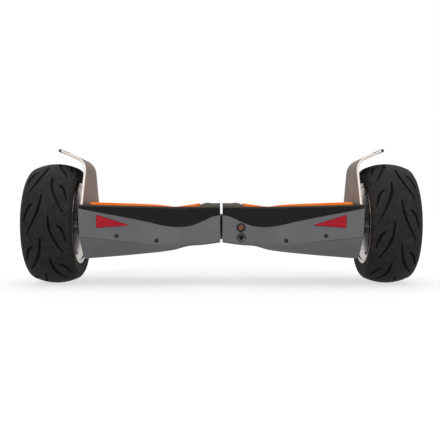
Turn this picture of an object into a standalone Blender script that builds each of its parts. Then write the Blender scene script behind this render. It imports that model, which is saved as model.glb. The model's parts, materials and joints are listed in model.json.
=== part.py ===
"""A two-wheeled self-balancing board, in metres with +Z up.

Two hollow halves twist against each other on a tube along the axle line. Each half carries a pressure
footpad, an upright fender and a wheel with its motor in the hub. Pieces are drawn with the axle line
at the origin, the right half on +X, and the left half is its mirror image.
"""

import math

import bmesh
import bpy
from mathutils import Matrix

# Clearances
FIT = 0.0003
SEAM_GAP = 0.0006
RUNNING_GAP = 0.0010

# Reach of a cutter that has to clear the whole body
CLEAR = 0.12

# Smoothness of round pieces
TYRE_STEPS = 40
RIM_STEPS = 32
DISC_STEPS = 24
SMALL_STEPS = 16
SCREW_STEPS = 12
SHAFT_STEPS = 8
BEND_STEPS = 8

# Body
BODY_END = 0.2415
UPPER_START = 0.0021
LOWER_START = 0.0018
HALF_DEPTH = 0.096
WAIST_HALF_DEPTH = 0.070
WAIST_END = 0.030
SHOULDER_START = 0.125
DECK = 0.0317
CROWN = 0.0052
WALL = 0.0035
FIN_PROUD = 0.0015
EDGE_RADIUS = 0.004
END_LEAN = 0.0055

# Wheel
TYRE_RADIUS = 0.108
TYRE_WIDTH = 0.087
TYRE_GAP = 0.012
TREAD_FLAT = 0.006
CROWN_RADIUS = 0.087
SHOULDER_RADIUS = 0.011
RIM_RADIUS = 0.070
RIM_WALL = 0.0055
FLANGE_HEIGHT = 0.0035
FLANGE_THICKNESS = 0.0028
BEAD_HALF_WIDTH = 0.0384
COVER_RECESS = 0.0015
COVER_THICKNESS = 0.005
MAGNET_THICKNESS = 0.0037
AIR_GAP = 0.0007
STATOR_TEETH = 18
STATOR_START = -0.0125
STATOR_END = 0.0195
AXLE_RADIUS = 0.008
AXLE_FLAT = 0.006
BEARING_RADIUS = 0.016
BEARING_WIDTH = 0.011
BOSS_RADIUS = 0.022
WEB_THICKNESS = 0.005
WEB_POCKETS = 6
WEB_POCKET_RADIUS = 0.011
WEB_POCKET_DEPTH = 0.003
HUB_CAP_RADIUS = 0.024
HUB_CAP_HEIGHT = 0.0057

# Frame casting inside each half
PLATE_TOP = 0.015
PLATE_THICKNESS = 0.003
RIB = 0.0070
CRADLE_HALF_WIDTH = 0.020
CRADLE_LENGTH = 0.045
CLAMP_DEPTH = 0.025
BOLT_HEAD_RADIUS = 0.0042
BOLT_HEAD_HEIGHT = 0.004
BOLT_INSET_X = 0.008
BOLT_INSET_Y = 0.006

# Pivot between the halves
TUBE_RADIUS = 0.0145
TUBE_BORE = 0.0105
TUBE_FLANGE = 0.0030
BUSH_WALL = 0.003
SLEEVE_WALL = 0.0034
SLEEVE_LENGTH = 0.053
RETAINER_THICKNESS = 0.0017
HARNESS_RADIUS = 0.0045

# Fender
FENDER_THICKNESS = 0.004
FENDER_SETBACK = 0.0006
FENDER_HALF_WIDTH = 0.083
FENDER_BASE = -0.0217
FENDER_BEND = 0.0928
FENDER_BEND_HALF_WIDTH = 0.0515
BEND_RADIUS = 0.024
LIP_ANGLE = math.radians(24)
LIP_LENGTH = 0.0359
LIP_ROOT_HALF_WIDTH = 0.040
LIP_HALF_WIDTH = 0.034
TRIM_GAP = 0.0002
TRIM_WALL = 0.0006
TRIM_GRIP = 0.003

# Footpads
PAD_START = 0.038
PAD_MARGIN = 0.018
PAD_CORNER = 0.009
PAD_CLEARANCE = 0.0004
PAD_TRAVEL = 0.0015
PAD_FLANGE = 0.0025
PAD_FLANGE_THICKNESS = 0.0025
PAD_SKIN = 0.0035
PAD_GROOVE_WIDTH = 0.004
PAD_GROOVE_DEPTH = 0.0012
PAD_GROOVE_PITCH = 0.012

# Lamps, button and socket
LAMP_PROUD = 0.0005
BUTTON_X = 0.034
BUTTON_Z = -0.0064
SOCKET_X = 0.0345
SOCKET_Z = -0.0233
BEZEL_RADIUS = 0.0075
BEZEL_THICKNESS = 0.0014
BARREL_RADIUS = 0.0060
BARREL_DEPTH = 0.0100
BUTTON_RADIUS = 0.0047
BUTTON_PROUD = 0.0009
BUTTON_TRAVEL = 0.0015
SOCKET_BORE = 0.0048
SOCKET_DEPTH = 0.0093
PIN_RADIUS = 0.0006
PIN_LENGTH = 0.0030

# Screws
SCREW_HEAD = 0.0032
SCREW_HEAD_DEPTH = 0.0016
SCREW_SHAFT = 0.0017
FENDER_SCREW_HEAD = 0.0045
FENDER_SCREW_Y = 0.034
FENDER_SCREW_Z = 0.006
UNDER_SCREW_Y = 0.040

# Electronics
BOARD_THICKNESS = 0.0014
SENSOR_BOARD_START = 0.070
SENSOR_BOARD_GAP = 0.0335
SENSOR_BOARD_HALF_WIDTH = 0.030
BLADE_REACH = 0.0050
BATTERY_START = 0.060
BATTERY_GAP = 0.0045
BATTERY_HALF_WIDTH = 0.055
BATTERY_DEPTH = 0.0465
MAIN_BOARD_START = 0.068
MAIN_BOARD_GAP = 0.0105
MAIN_BOARD_HALF_WIDTH = 0.045
MAIN_BOARD_Y = 0.003
STANDOFF = 0.0255
CONNECTOR_HALF_HEIGHT = 0.006
HEAT_SINK_DEPTH = 0.0225
HEAT_SINK_FINS = 6
HEAT_SINK_MARGIN = 0.009
CAPACITOR_RADIUS = 0.008
CAPACITOR_HEIGHT = 0.021

# Lines of the body's form: distance from the middle, then height or width
SEAM_LINE = ((0.0, 0.0170), (0.0146, 0.0141), (0.0322, 0.0062), (0.0498, -0.0009), (0.0672, -0.0037),
             (0.0840, -0.0032), (0.1005, -0.0005), (0.1263, 0.0056), (0.1693, 0.0142),
             (0.2106, 0.0219), (BODY_END, 0.0283))
UNDERSIDE_LINE = ((0.0, -0.0322), (0.032, -0.0367), (0.058, -0.0386), (0.085, -0.0454),
                  (0.155, -0.0533), (BODY_END, -0.0605))
CREASE_LINE = ((0.0, -0.0265), (0.032, -0.0305), (0.058, -0.0320), (0.120, -0.0335),
               (0.146, -0.0315), (0.200, -0.0258), (BODY_END, -0.0218))
TUCK_LINE = ((0.0, 0.006), (0.032, 0.006), (0.058, 0.008), (0.085, 0.016), (0.120, 0.0238),
             (0.155, 0.028), (BODY_END, 0.034))
FLANK_LINE = ((0.0, 1.0), (0.058, 0.9), (0.120, 0.6), (0.155, 0.45), (BODY_END, 0.45))
PAD_LINE = ((0.0, 0.0395), (0.038, 0.0355), (0.058, 0.0324), (0.075, 0.0318), (0.090, 0.0320),
            (0.225, 0.0374), (BODY_END, 0.0381))
STATIONS = (0.015, 0.030, 0.038, 0.055, 0.074, 0.092, 0.110, 0.128, 0.155, 0.200)

# Corners of a lamp: distance from the middle, height, and radius
LAMP_CORNERS = ((BODY_END - 0.0307, 0.0159, 0.0018), (BODY_END - 0.0307, -0.0062, 0.0018),
                (BODY_END - 0.0841, -0.0022, 0.0007))
REAR_SCREWS = ((BODY_END - 0.0650, -0.0199), (BODY_END - 0.1321, -0.0280))

# Places that follow from the sizes above
AXLE_HEIGHT = TYRE_RADIUS * math.cos(math.pi / TYRE_STEPS)
WHEEL_X = BODY_END + TYRE_GAP + TYRE_WIDTH / 2
TYRE_HALF_WIDTH = TYRE_WIDTH / 2
FENDER_OUTER = BODY_END - FENDER_SETBACK
FENDER_INNER = FENDER_OUTER - FENDER_THICKNESS
POCKET_FLOOR = FENDER_INNER - FIT
SHELL_END = POCKET_FLOOR - WALL * 0.8
CHASSIS_END = SHELL_END - FIT
PLATE_UNDERSIDE = PLATE_TOP - PLATE_THICKNESS
AXLE_BORE = AXLE_RADIUS + FIT
CRADLE_START = CHASSIS_END - CRADLE_LENGTH
AXLE_START = CRADLE_START + 0.0015
SHELL_AXLE_HOLE = AXLE_RADIUS + 0.0025
FLANGE_RADIUS = RIM_RADIUS + FLANGE_HEIGHT
FLANGE_START = BEAD_HALF_WIDTH + FIT
FLANGE_END = FLANGE_START + FLANGE_THICKNESS
RIM_BORE = RIM_RADIUS - RIM_WALL
COVER_SEAT = RIM_BORE + 0.0015
COVER_OUTER = -(FLANGE_END - COVER_RECESS)
COVER_INNER = COVER_OUTER + COVER_THICKNESS
BEARING_BORE = BEARING_RADIUS + FIT
INNER_BEARING_START = COVER_OUTER - 0.0015
WEB_START = STATOR_END + 0.009
WEB_END = WEB_START + WEB_THICKNESS
OUTER_BEARING_END = WEB_END - 0.0015
AXLE_END = OUTER_BEARING_END - 0.0005
SLEEVE_START = UPPER_START
SLEEVE_END = SLEEVE_START + SLEEVE_LENGTH
BUSH_BORE = TUBE_RADIUS + FIT
BUSH_RADIUS = BUSH_BORE + BUSH_WALL
SLEEVE_RADIUS = BUSH_RADIUS + FIT + SLEEVE_WALL
SLEEVE_HOLE = SLEEVE_RADIUS + RUNNING_GAP
DECK_UNDERSIDE = DECK - WALL
PAD_END = SHELL_END - PAD_FLANGE - 2 * FIT
PAD_FLANGE_TOP = DECK_UNDERSIDE - FIT
PAD_FLANGE_BASE = PAD_FLANGE_TOP - PAD_FLANGE_THICKNESS
SENSOR_BOARD_BASE = PLATE_TOP + FIT
SENSOR_BOARD_TOP = SENSOR_BOARD_BASE + BOARD_THICKNESS
SENSOR_TOP = PAD_FLANGE_BASE - PAD_TRAVEL - FIT
BLADE_TIP = PAD_FLANGE_TOP - BLADE_REACH
SENSOR_BOARD_END = CHASSIS_END - SENSOR_BOARD_GAP
BLADE_PLACES = (SENSOR_BOARD_START + 0.015, SENSOR_BOARD_END - 0.015)
UNDER_SCREW_X = CHASSIS_END - RIB / 2
BATTERY_END = CRADLE_START - BATTERY_GAP
MAIN_BOARD_END = CRADLE_START - MAIN_BOARD_GAP


# Start from an empty scene, with one collection for the pieces
for old in list(bpy.data.objects):
    bpy.data.objects.remove(old, do_unlink=True)
pieces = bpy.data.collections.new("self_balancing_board")
bpy.context.scene.collection.children.link(pieces)
cutters = bpy.data.collections.new("cutters")
bpy.context.scene.collection.children.link(cutters)


# Materials
def finish(name, colour, roughness, metallic=0.0):
    """A Principled material from a linear colour."""
    material = bpy.data.materials.new(name)
    material.use_nodes = True
    shader = material.node_tree.nodes["Principled BSDF"]
    shader.inputs["Base Color"].default_value = (*colour, 1.0)
    shader.inputs["Roughness"].default_value = roughness
    shader.inputs["Metallic"].default_value = metallic
    material.diffuse_color = (*colour, 1.0)
    return material


GREY_SHELL = finish("grey_shell", (0.13, 0.13, 0.135), 0.5)
BLACK_SHELL = finish("black_shell", (0.012, 0.012, 0.011), 0.25)
ORANGE_MAT = finish("orange_mat", (1.0, 0.22, 0.03), 0.75)
TYRE_RUBBER = finish("tyre_rubber", (0.026, 0.026, 0.027), 0.8)
TRIM_RUBBER = finish("trim_rubber", (0.008, 0.008, 0.008), 0.6)
FENDER_METAL = finish("fender_aluminium", (0.35, 0.31, 0.28), 0.4, 1.0)
CAST_METAL = finish("cast_aluminium", (0.55, 0.55, 0.55), 0.5, 1.0)
RIM_METAL = finish("rim_aluminium", (0.75, 0.73, 0.71), 0.3, 1.0)
STEEL = finish("bright_steel", (0.6, 0.6, 0.6), 0.3, 1.0)
DARK_STEEL = finish("black_steel", (0.02, 0.02, 0.02), 0.4, 1.0)
CHROMED = finish("chromed_plastic", (0.55, 0.55, 0.56), 0.15, 1.0)
RED_LENS = finish("red_lens", (0.48, 0.017, 0.032), 0.15)
CLEAR_LENS = finish("clear_lens", (0.7, 0.72, 0.75), 0.1)
BLACK_PLASTIC = finish("black_plastic", (0.015, 0.015, 0.015), 0.5)
BOARD_GREEN = finish("circuit_board", (0.02, 0.12, 0.05), 0.4)
BLUE_WRAP = finish("battery_wrap", (0.02, 0.08, 0.3), 0.35)
WINDING = finish("stator_winding", (0.42, 0.16, 0.06), 0.4, 1.0)
BUTTON_BROWN = finish("button_plastic", (0.20, 0.09, 0.05), 0.4)
MAGNET = finish("magnet_nickel", (0.45, 0.44, 0.42), 0.35, 1.0)
BRONZE = finish("bush_bronze", (0.42, 0.25, 0.10), 0.4, 1.0)


# Modelling helpers
def piece_from(name, mesh):
    """An object for a mesh, in the pieces' collection."""
    piece = bpy.data.objects.new(name, mesh)
    pieces.objects.link(piece)
    return piece


def piece_from_bmesh(name, bm):
    """An object from a closed bmesh, its faces turned outwards."""
    bmesh.ops.recalc_face_normals(bm, faces=bm.faces[:])
    mesh = bpy.data.meshes.new(name)
    bm.to_mesh(mesh)
    bm.free()
    return piece_from(name, mesh)


def settled(piece):
    """Give an object the mesh that its modifiers or its curve make."""
    depsgraph = bpy.context.evaluated_depsgraph_get()
    mesh = bpy.data.meshes.new_from_object(piece.evaluated_get(depsgraph))
    mesh.transform(piece.matrix_world)
    name = piece.name
    bpy.data.objects.remove(piece, do_unlink=True)
    return piece_from(name, mesh)


def welded(piece):
    """Join the loose caps or seam of a piece made from an outline, and turn its faces outwards."""
    bm = bmesh.new()
    bm.from_mesh(piece.data)
    bmesh.ops.remove_doubles(bm, verts=bm.verts[:], dist=0.000002)
    bmesh.ops.recalc_face_normals(bm, faces=bm.faces[:])
    bm.to_mesh(piece.data)
    bm.free()
    return piece


# Pieces cut from the body's curved form, which only the manifold solver keeps closed
CURVED_PIECES = ("right_upper_shell", "right_lower_shell", "right_chassis", "left_chassis", "right_footpad")


def combined(piece, others, operation):
    """Cut, join or intersect a piece with others, which are used up."""
    name = piece.name
    for other in others:
        pieces.objects.unlink(other)
        cutters.objects.link(other)
        other.hide_render = True
        other.display_type = "WIRE"
        change = piece.modifiers.new("shape", "BOOLEAN")
        change.operation = operation
        change.solver = "MANIFOLD" if name in CURVED_PIECES else "EXACT"
        change.object = other
    piece = settled(piece)
    for other in others:
        bpy.data.objects.remove(other, do_unlink=True)
    piece.name = name
    return piece


def cut(piece, *others):
    return combined(piece, others, "DIFFERENCE")


def joined(piece, *others):
    return combined(piece, others, "UNION")


def common(piece, other):
    return combined(piece, (other,), "INTERSECT")


def box(name, low, high):
    """A block between two corners."""
    bm = bmesh.new()
    bmesh.ops.create_cube(bm, size=1.0)
    size = [b - a for a, b in zip(low, high)]
    middle = [(a + b) / 2 for a, b in zip(low, high)]
    bmesh.ops.scale(bm, vec=size, verts=bm.verts[:])
    bmesh.ops.translate(bm, vec=middle, verts=bm.verts[:])
    return piece_from_bmesh(name, bm)


# Turns that lay local Z along another axis, with local X and Y along the two that follow it
LAY_ALONG = {
    "X": Matrix(((0, 0, 1, 0), (1, 0, 0, 0), (0, 1, 0, 0), (0, 0, 0, 1))),
    "Y": Matrix(((1, 0, 0, 0), (0, 0, -1, 0), (0, 1, 0, 0), (0, 0, 0, 1))),
    "Z": Matrix.Identity(4),
}


def rod(name, radius, axis, start, end, centre=(0.0, 0.0), steps=SMALL_STEPS):
    """A cylinder along X (centre Y, Z), along Y (centre X, Z) or along Z (centre X, Y)."""
    bm = bmesh.new()
    bmesh.ops.create_cone(bm, cap_ends=True, segments=steps, radius1=radius, radius2=radius,
                          depth=abs(end - start))
    turn = LAY_ALONG[axis]
    along = (start + end) / 2
    if axis == "X":
        place = (along, centre[0], centre[1])
    elif axis == "Y":
        place = (centre[0], along, centre[1])
    else:
        place = (centre[0], centre[1], along)
    bmesh.ops.transform(bm, matrix=Matrix.Translation(place) @ turn, verts=bm.verts[:])
    return piece_from_bmesh(name, bm)


def slab(name, outlines, axis, start, end):
    """A flat outline given thickness: (Y, Z) points along X, (X, Z) along Y or (X, Y) along Z.

    The first outline is the outer one and any others are holes.
    """
    curve = bpy.data.curves.new(name, "CURVE")
    curve.dimensions = "2D"
    curve.fill_mode = "BOTH"
    curve.extrude = abs(end - start) / 2
    for outline in outlines:
        spline = curve.splines.new("POLY")
        spline.points.add(len(outline) - 1)
        for point, (across, up) in zip(spline.points, outline):
            point.co = (across, up, 0.0, 1.0)
        spline.use_cyclic_u = True
    piece = piece_from(name, curve)
    middle = (start + end) / 2
    shift = {"X": (middle, 0, 0), "Y": (0, middle, 0), "Z": (0, 0, middle)}[axis]
    piece.matrix_world = Matrix.Translation(shift) @ LAY_ALONG[axis]
    bpy.context.view_layer.update()
    return welded(settled(piece))


def turned(name, profile, steps, half_turn=False):
    """A shape turned about the X axis from (along, radius) points.

    The points run along the outer side from high to low. A profile that starts and ends on the axis
    is left open there, and any other is closed.
    """
    solid = profile[0][1] == 0.0 and profile[-1][1] == 0.0
    mesh = bpy.data.meshes.new(name)
    count = len(profile)
    edges = [(i, i + 1) for i in range(count - 1)]
    if not solid:
        edges.append((count - 1, 0))
    mesh.from_pydata([(radius, 0.0, along) for along, radius in profile], edges, [])
    piece = piece_from(name, mesh)
    spin = piece.modifiers.new("turn", "SCREW")
    spin.axis = "Z"
    spin.angle = math.tau
    spin.steps = steps
    spin.render_steps = steps
    spin.use_merge_vertices = True
    spin.merge_threshold = 0.00001
    offset = math.pi / steps if half_turn else 0.0
    piece.matrix_world = LAY_ALONG["X"] @ Matrix.Rotation(offset, 4, "Z")
    bpy.context.view_layer.update()
    return welded(settled(piece))


def loft(name, rings):
    """A closed solid through rings that each have the same number of points."""
    bm = bmesh.new()
    loops = [[bm.verts.new(point) for point in ring] for ring in rings]
    for near, far in zip(loops, loops[1:]):
        for i in range(len(near)):
            j = (i + 1) % len(near)
            bm.faces.new((near[i], near[j], far[j], far[i]))
    bm.faces.new(loops[0])
    bm.faces.new(loops[-1])
    bmesh.ops.connect_verts_nonplanar(bm, angle_limit=math.radians(0.02), faces=bm.faces[:])
    return piece_from_bmesh(name, bm)


def mirrored(piece, name):
    """The same piece on the other half."""
    mesh = piece.data.copy()
    mesh.transform(Matrix.Scale(-1.0, 4, (1.0, 0.0, 0.0)))
    mesh.flip_normals()
    return piece_from(name, mesh)


def dressed(piece, material):
    """Put a material on a piece and shade its round faces smooth."""
    piece.data.materials.clear()
    piece.data.materials.append(material)
    piece.data.shade_smooth()
    piece.data.set_sharp_from_angle(angle=math.radians(32))
    return piece


# Form of the body
def along_line(line, x):
    """Height or width of a line at a distance from the middle."""
    for (x0, value0), (x1, value1) in zip(line, line[1:]):
        if x <= x1:
            break
    return value0 + (value1 - value0) * (x - x0) / (x1 - x0)


def smooth_step(x, start, end):
    share = min(max((x - start) / (end - start), 0.0), 1.0)
    return share * share * (3 - 2 * share)


def smooth_line(line, cuts=2):
    """More points of a line, on a smooth curve through the given ones."""
    ends = [line[0], *line, line[-1]]
    points = []
    for before, start, end, after in zip(ends, ends[1:], ends[2:], ends[3:]):
        for i in range(cuts):
            t = i / cuts
            point = []
            for p0, p1, p2, p3 in zip(before, start, end, after):
                point.append(0.5 * (2 * p1 + (p2 - p0) * t + (2 * p0 - 5 * p1 + 4 * p2 - p3) * t ** 2
                                    + (3 * p1 - p0 - 3 * p2 + p3) * t ** 3))
            points.append(tuple(point))
    points.append(line[-1])
    return points


def half_depth(x):
    """Half of the body's depth, front to back."""
    share = smooth_step(x, WAIST_END, SHOULDER_START)
    return WAIST_HALF_DEPTH + (HALF_DEPTH - WAIST_HALF_DEPTH) * share


def section(x, inset=0.0, proud=0.0):
    """Cross-section of the body at a distance from the middle, as a ring of points."""
    half = half_depth(x) + proud - inset
    top = DECK - inset
    edge = max(EDGE_RADIUS - inset, 0.001)
    crown = CROWN * (1 - smooth_step(x, WAIST_END, PAD_START))
    side = []
    for share in (0.0, 0.5, 1.0):
        side.append((share * (half - edge), top + crown * (1 - share ** 2)))
    for degrees in (45, 90):
        angle = math.radians(degrees)
        side.append((half - edge + edge * math.sin(angle), top - edge + edge * math.cos(angle)))
    crease = along_line(CREASE_LINE, x)
    bottom = along_line(UNDERSIDE_LINE, x) + inset
    foot = half - along_line(TUCK_LINE, x)
    knee = foot + (half - foot) * along_line(FLANK_LINE, x)
    for t in (0.0, 0.33, 0.67, 1.0):
        across = (1 - t) ** 2 * half + 2 * t * (1 - t) * knee + t ** 2 * foot
        down = (1 - t) ** 2 * crease + 2 * t * (1 - t) * bottom + t ** 2 * bottom
        side.append((across, down))
    other_side = [(-across, up) for across, up in reversed(side[1:])]
    return [(x, across, up) for across, up in side + other_side]


def body_form(name, start, end, inset=0.0, proud=0.0):
    """A solid of the body's form between two distances from the middle."""
    places = [start] + [x for x in STATIONS if start + 0.002 < x < end - 0.002] + [end]
    return loft(name, [section(x, inset, proud) for x in places])


def under_line(name, line, below, start, end, shift=0.0):
    """The space between a line and a level, across the whole depth."""
    points = [(x, z + shift) for x, z in line if start < x < end]
    first = (start, along_line(line, start) + shift)
    last = (end, along_line(line, end) + shift)
    outline = [first, *points, last, (end, below), (start, below)]
    return slab(name, [outline], "Y", -0.2, 0.2)


def plan_outline(start, end, margin, corner):
    """The body's outline from above, drawn in by a margin, with round corners."""
    side = []
    turn = (0, 30, 60, 90)
    reach = half_depth(start + corner) - margin - corner
    for degrees in turn:
        angle = math.radians(degrees)
        side.append((start + corner - corner * math.cos(angle), reach + corner * math.sin(angle)))
    for x in STATIONS:
        if start + corner + 0.003 < x < min(end - corner - 0.003, SHOULDER_START):
            side.append((x, half_depth(x) - margin))
    reach = half_depth(end - corner) - margin - corner
    for degrees in reversed(turn):
        angle = math.radians(degrees)
        side.append((end - corner + corner * math.cos(angle), reach + corner * math.sin(angle)))
    return side + [(x, -y) for x, y in reversed(side)]


SEAM = smooth_line(SEAM_LINE)
LONG_SEAM = [(-0.01, SEAM[0][1]), *SEAM[1:], (BODY_END + 0.01, SEAM[-1][1])]


def fender_pocket(name):
    """The recess for the fender in the end of the body."""
    half = FENDER_HALF_WIDTH + 2 * FIT
    return box(name, (POCKET_FLOOR, -half, FENDER_BASE - FIT), (BODY_END + 0.01, half, DECK + 0.03))


def pad_outline(grow):
    return plan_outline(PAD_START - grow, PAD_END + grow, PAD_MARGIN - grow, PAD_CORNER + grow)


# Lens in the crown between the footpads
LENS_START = 0.0203
LENS_LENGTH = 0.0094
LENS_HALF_WIDTH = 0.0117
LENS_PROUD = 0.0004
LENS_END = LENS_START + LENS_LENGTH
LENS_TOP = DECK + CROWN + LENS_PROUD
indicator_lens = box("right_indicator_lens", (LENS_START, -LENS_HALF_WIDTH, LENS_TOP - WALL),
                     (LENS_END, LENS_HALF_WIDTH, LENS_TOP))
lens_hole = box("lens_hole", (LENS_START - FIT, -LENS_HALF_WIDTH - FIT, DECK - 0.01),
                (LENS_END + FIT, LENS_HALF_WIDTH + FIT, LENS_TOP + 0.01))


# Upper shell: the gloss black deck whose sides drop as fins over the grey shell
GROOVE_START = 0.0112
GROOVE_WIDTH = 0.005
GROOVE_DEPTH = 0.0017
upper_shell = body_form("right_upper_shell", UPPER_START, BODY_END, proud=FIN_PROUD)
upper_shell = cut(upper_shell, body_form("hollow", UPPER_START + WALL, SHELL_END, inset=WALL))
above_seam = under_line("above_seam", LONG_SEAM, CLEAR, -0.005, BODY_END + 0.005, SEAM_GAP / 2)
upper_shell = common(upper_shell, above_seam)
groove_floor = DECK + CROWN - GROOVE_DEPTH
upper_shell = cut(
    upper_shell,
    slab("pad_opening", [pad_outline(PAD_CLEARANCE)], "Z", DECK_UNDERSIDE - 0.002, DECK + 0.01),
    box("groove", (GROOVE_START, -CLEAR, groove_floor), (GROOVE_START + GROOVE_WIDTH, CLEAR, CLEAR)),
    lens_hole,
    rod("sleeve_hole", SLEEVE_HOLE, "X", -0.01, UPPER_START + WALL + 0.002, steps=DISC_STEPS),
    fender_pocket("pocket"),
)


# Lower shell: the grey tray under the frame
POST_RADIUS = 0.005
lower_shell = body_form("right_lower_shell", LOWER_START, BODY_END)
lower_shell = cut(lower_shell, body_form("hollow", LOWER_START + WALL, SHELL_END, inset=WALL))
below_seam = under_line("below_seam", LONG_SEAM, -CLEAR, -0.005, BODY_END + 0.005, -SEAM_GAP / 2)
lower_shell = common(lower_shell, below_seam)
under_end = along_line(UNDERSIDE_LINE, UNDER_SCREW_X)
post_top = along_line(CREASE_LINE, UNDER_SCREW_X - POST_RADIUS) - FIT
for y in (-UNDER_SCREW_Y, UNDER_SCREW_Y):
    post = rod("post", POST_RADIUS, "Z", under_end + WALL / 2, post_top, (UNDER_SCREW_X, y))
    lower_shell = joined(lower_shell, post)
lean_outline = [(BODY_END, 0.0), (BODY_END + 0.01, 0.0), (BODY_END + 0.01, 1.5 * UNDERSIDE_LINE[-1][1]),
                (BODY_END - 1.5 * END_LEAN, 1.5 * UNDERSIDE_LINE[-1][1])]
lower_shell = cut(
    lower_shell,
    slab("lean", [lean_outline], "Y", -0.2, 0.2),
    fender_pocket("pocket"),
    rod("sleeve_hole", SLEEVE_HOLE, "X", -0.01, LOWER_START + WALL + 0.002, steps=DISC_STEPS),
    rod("axle_hole", SHELL_AXLE_HOLE, "X", SHELL_END - 0.002, BODY_END + 0.01),
)


# Frame casting: a plate with side walls, a sleeve at the pivot and a cradle for the axle
chassis = body_form("right_chassis", LOWER_START + WALL + FIT, CHASSIS_END, inset=WALL + FIT)
above_crease = under_line("above_crease", CREASE_LINE, PLATE_TOP, 0.0, BODY_END)
chassis = common(chassis, above_crease)
tray_start = LOWER_START + WALL + FIT + RIB
tray_end = CHASSIS_END - RIB
tray = plan_outline(tray_start, tray_end, WALL + FIT + RIB, 0.003)
chassis = cut(chassis, slab("tray", [tray], "Z", -0.08, PLATE_UNDERSIDE))
chassis = joined(
    chassis,
    rod("sleeve", SLEEVE_RADIUS, "X", SLEEVE_START, SLEEVE_END, steps=DISC_STEPS),
    box("cradle", (CHASSIS_END - CRADLE_LENGTH, -CRADLE_HALF_WIDTH, 0.0),
        (CHASSIS_END - RIB / 2, CRADLE_HALF_WIDTH, PLATE_TOP - 0.001)),
)
chassis = cut(
    chassis,
    rod("axle_groove", AXLE_BORE, "X", CHASSIS_END - CRADLE_LENGTH - 0.01, CHASSIS_END + 0.01),
    box("axle_slot", (CHASSIS_END - 2 * RIB, -AXLE_BORE, -0.08), (CHASSIS_END + 0.01, AXLE_BORE, 0.0)),
)


# Fender: a bent plate screwed to the end of the body
fender_middle = (FENDER_INNER + FENDER_OUTER) / 2
lip_turn = math.pi / 2 - LIP_ANGLE
bend_centre = fender_middle + BEND_RADIUS
fender_stations = [
    (fender_middle, FENDER_BASE, 0.0, FENDER_HALF_WIDTH),
    (fender_middle, DECK, 0.0, FENDER_HALF_WIDTH),
]
for share in (0.33, 0.67):
    level = DECK + (FENDER_BEND - DECK) * share
    narrowing = (FENDER_HALF_WIDTH - FENDER_BEND_HALF_WIDTH) * share
    fender_stations.append((fender_middle, level, 0.0, FENDER_HALF_WIDTH - narrowing))
for step in range(BEND_STEPS + 1):
    turn = lip_turn * step / BEND_STEPS
    half = FENDER_BEND_HALF_WIDTH + (LIP_ROOT_HALF_WIDTH - FENDER_BEND_HALF_WIDTH) * step / BEND_STEPS
    fender_stations.append((bend_centre - BEND_RADIUS * math.cos(turn),
                            FENDER_BEND + BEND_RADIUS * math.sin(turn), turn, half))
lip_root = fender_stations[-1]
lip_end = (lip_root[0] + LIP_LENGTH * math.cos(LIP_ANGLE), lip_root[1] + LIP_LENGTH * math.sin(LIP_ANGLE))
fender_stations.append((*lip_end, lip_turn, LIP_HALF_WIDTH))
fender_rings = []
for x, z, turn, half in fender_stations:
    out_x = math.cos(turn) * FENDER_THICKNESS / 2
    out_z = math.sin(turn) * FENDER_THICKNESS / 2
    fender_rings.append([(x + out_x, -half, z - out_z), (x + out_x, half, z - out_z),
                         (x - out_x, half, z + out_z), (x - out_x, -half, z + out_z)])
fender = loft("right_fender", fender_rings)
fender = cut(fender, rod("axle_hole", SHELL_AXLE_HOLE, "X", FENDER_INNER - 0.01, FENDER_OUTER + 0.01))

# Rubber edge on the fender's lip
slot_half = FENDER_THICKNESS / 2 + TRIM_GAP
trim_half = slot_half + TRIM_WALL
trim_outline = [(-TRIM_GRIP, slot_half), (-TRIM_GRIP, trim_half)]
for degrees in range(90, -91, -30):
    angle = math.radians(degrees)
    trim_outline.append((TRIM_GAP + trim_half * math.cos(angle), trim_half * math.sin(angle)))
trim_outline += [(-TRIM_GRIP, -trim_half), (-TRIM_GRIP, -slot_half), (TRIM_GAP, -slot_half), (TRIM_GAP, slot_half)]
placed_outline = []
for along, across in trim_outline:
    x = lip_end[0] + along * math.cos(LIP_ANGLE) - across * math.sin(LIP_ANGLE)
    z = lip_end[1] + along * math.sin(LIP_ANGLE) + across * math.cos(LIP_ANGLE)
    placed_outline.append((x, z))
fender_trim = slab("right_fender_trim", [placed_outline], "Y", -LIP_HALF_WIDTH, LIP_HALF_WIDTH)


# Lamps: triangles with round corners, one behind and one in front
def rounded(corners, grow=0.0):
    """A polygon with round corners, each with its own radius, moved outwards by an amount."""
    points = []
    for before, corner, after in zip(corners[-1:] + corners[:-1], corners, corners[1:] + corners[:1]):
        radius = corner[2]
        arms = []
        for other in (before, after):
            run = math.dist(corner[:2], other[:2])
            arms.append([(b - a) / run for a, b in zip(corner[:2], other)])
        opening = math.acos(sum(a * b for a, b in zip(*arms))) / 2
        middle = [a + b for a, b in zip(*arms)]
        reach = radius / math.sin(opening) / math.hypot(*middle)
        hub = [c + m * reach for c, m in zip(corner, middle)]
        touch = radius / math.tan(opening)
        start, end = (math.atan2(*[c + arm[i] * touch - h for i, c, h in ((1, corner[1], hub[1]),
                                                                         (0, corner[0], hub[0]))])
                      for arm in arms)
        sweep = (end - start + math.pi) % math.tau - math.pi
        for step in range(4):
            angle = start + sweep * step / 3
            points.append((hub[0] + (radius + grow) * math.cos(angle),
                           hub[1] + (radius + grow) * math.sin(angle)))
    return points


lamp_shape = rounded(LAMP_CORNERS)
lamp_hole_shape = rounded(LAMP_CORNERS, FIT)
lamp_face = HALF_DEPTH + LAMP_PROUD
lamp_back = HALF_DEPTH - WALL
rear_reflector = slab("right_rear_reflector", [lamp_shape], "Y", -lamp_face, -lamp_back)
front_lamp = slab("right_front_lamp", [lamp_shape], "Y", lamp_back, lamp_face)
lower_shell = cut(
    lower_shell,
    slab("rear_hole", [lamp_hole_shape], "Y", -lamp_face - 0.01, -lamp_back + 0.001),
    slab("front_hole", [lamp_hole_shape], "Y", lamp_back - 0.001, lamp_face + 0.01),
)


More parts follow.
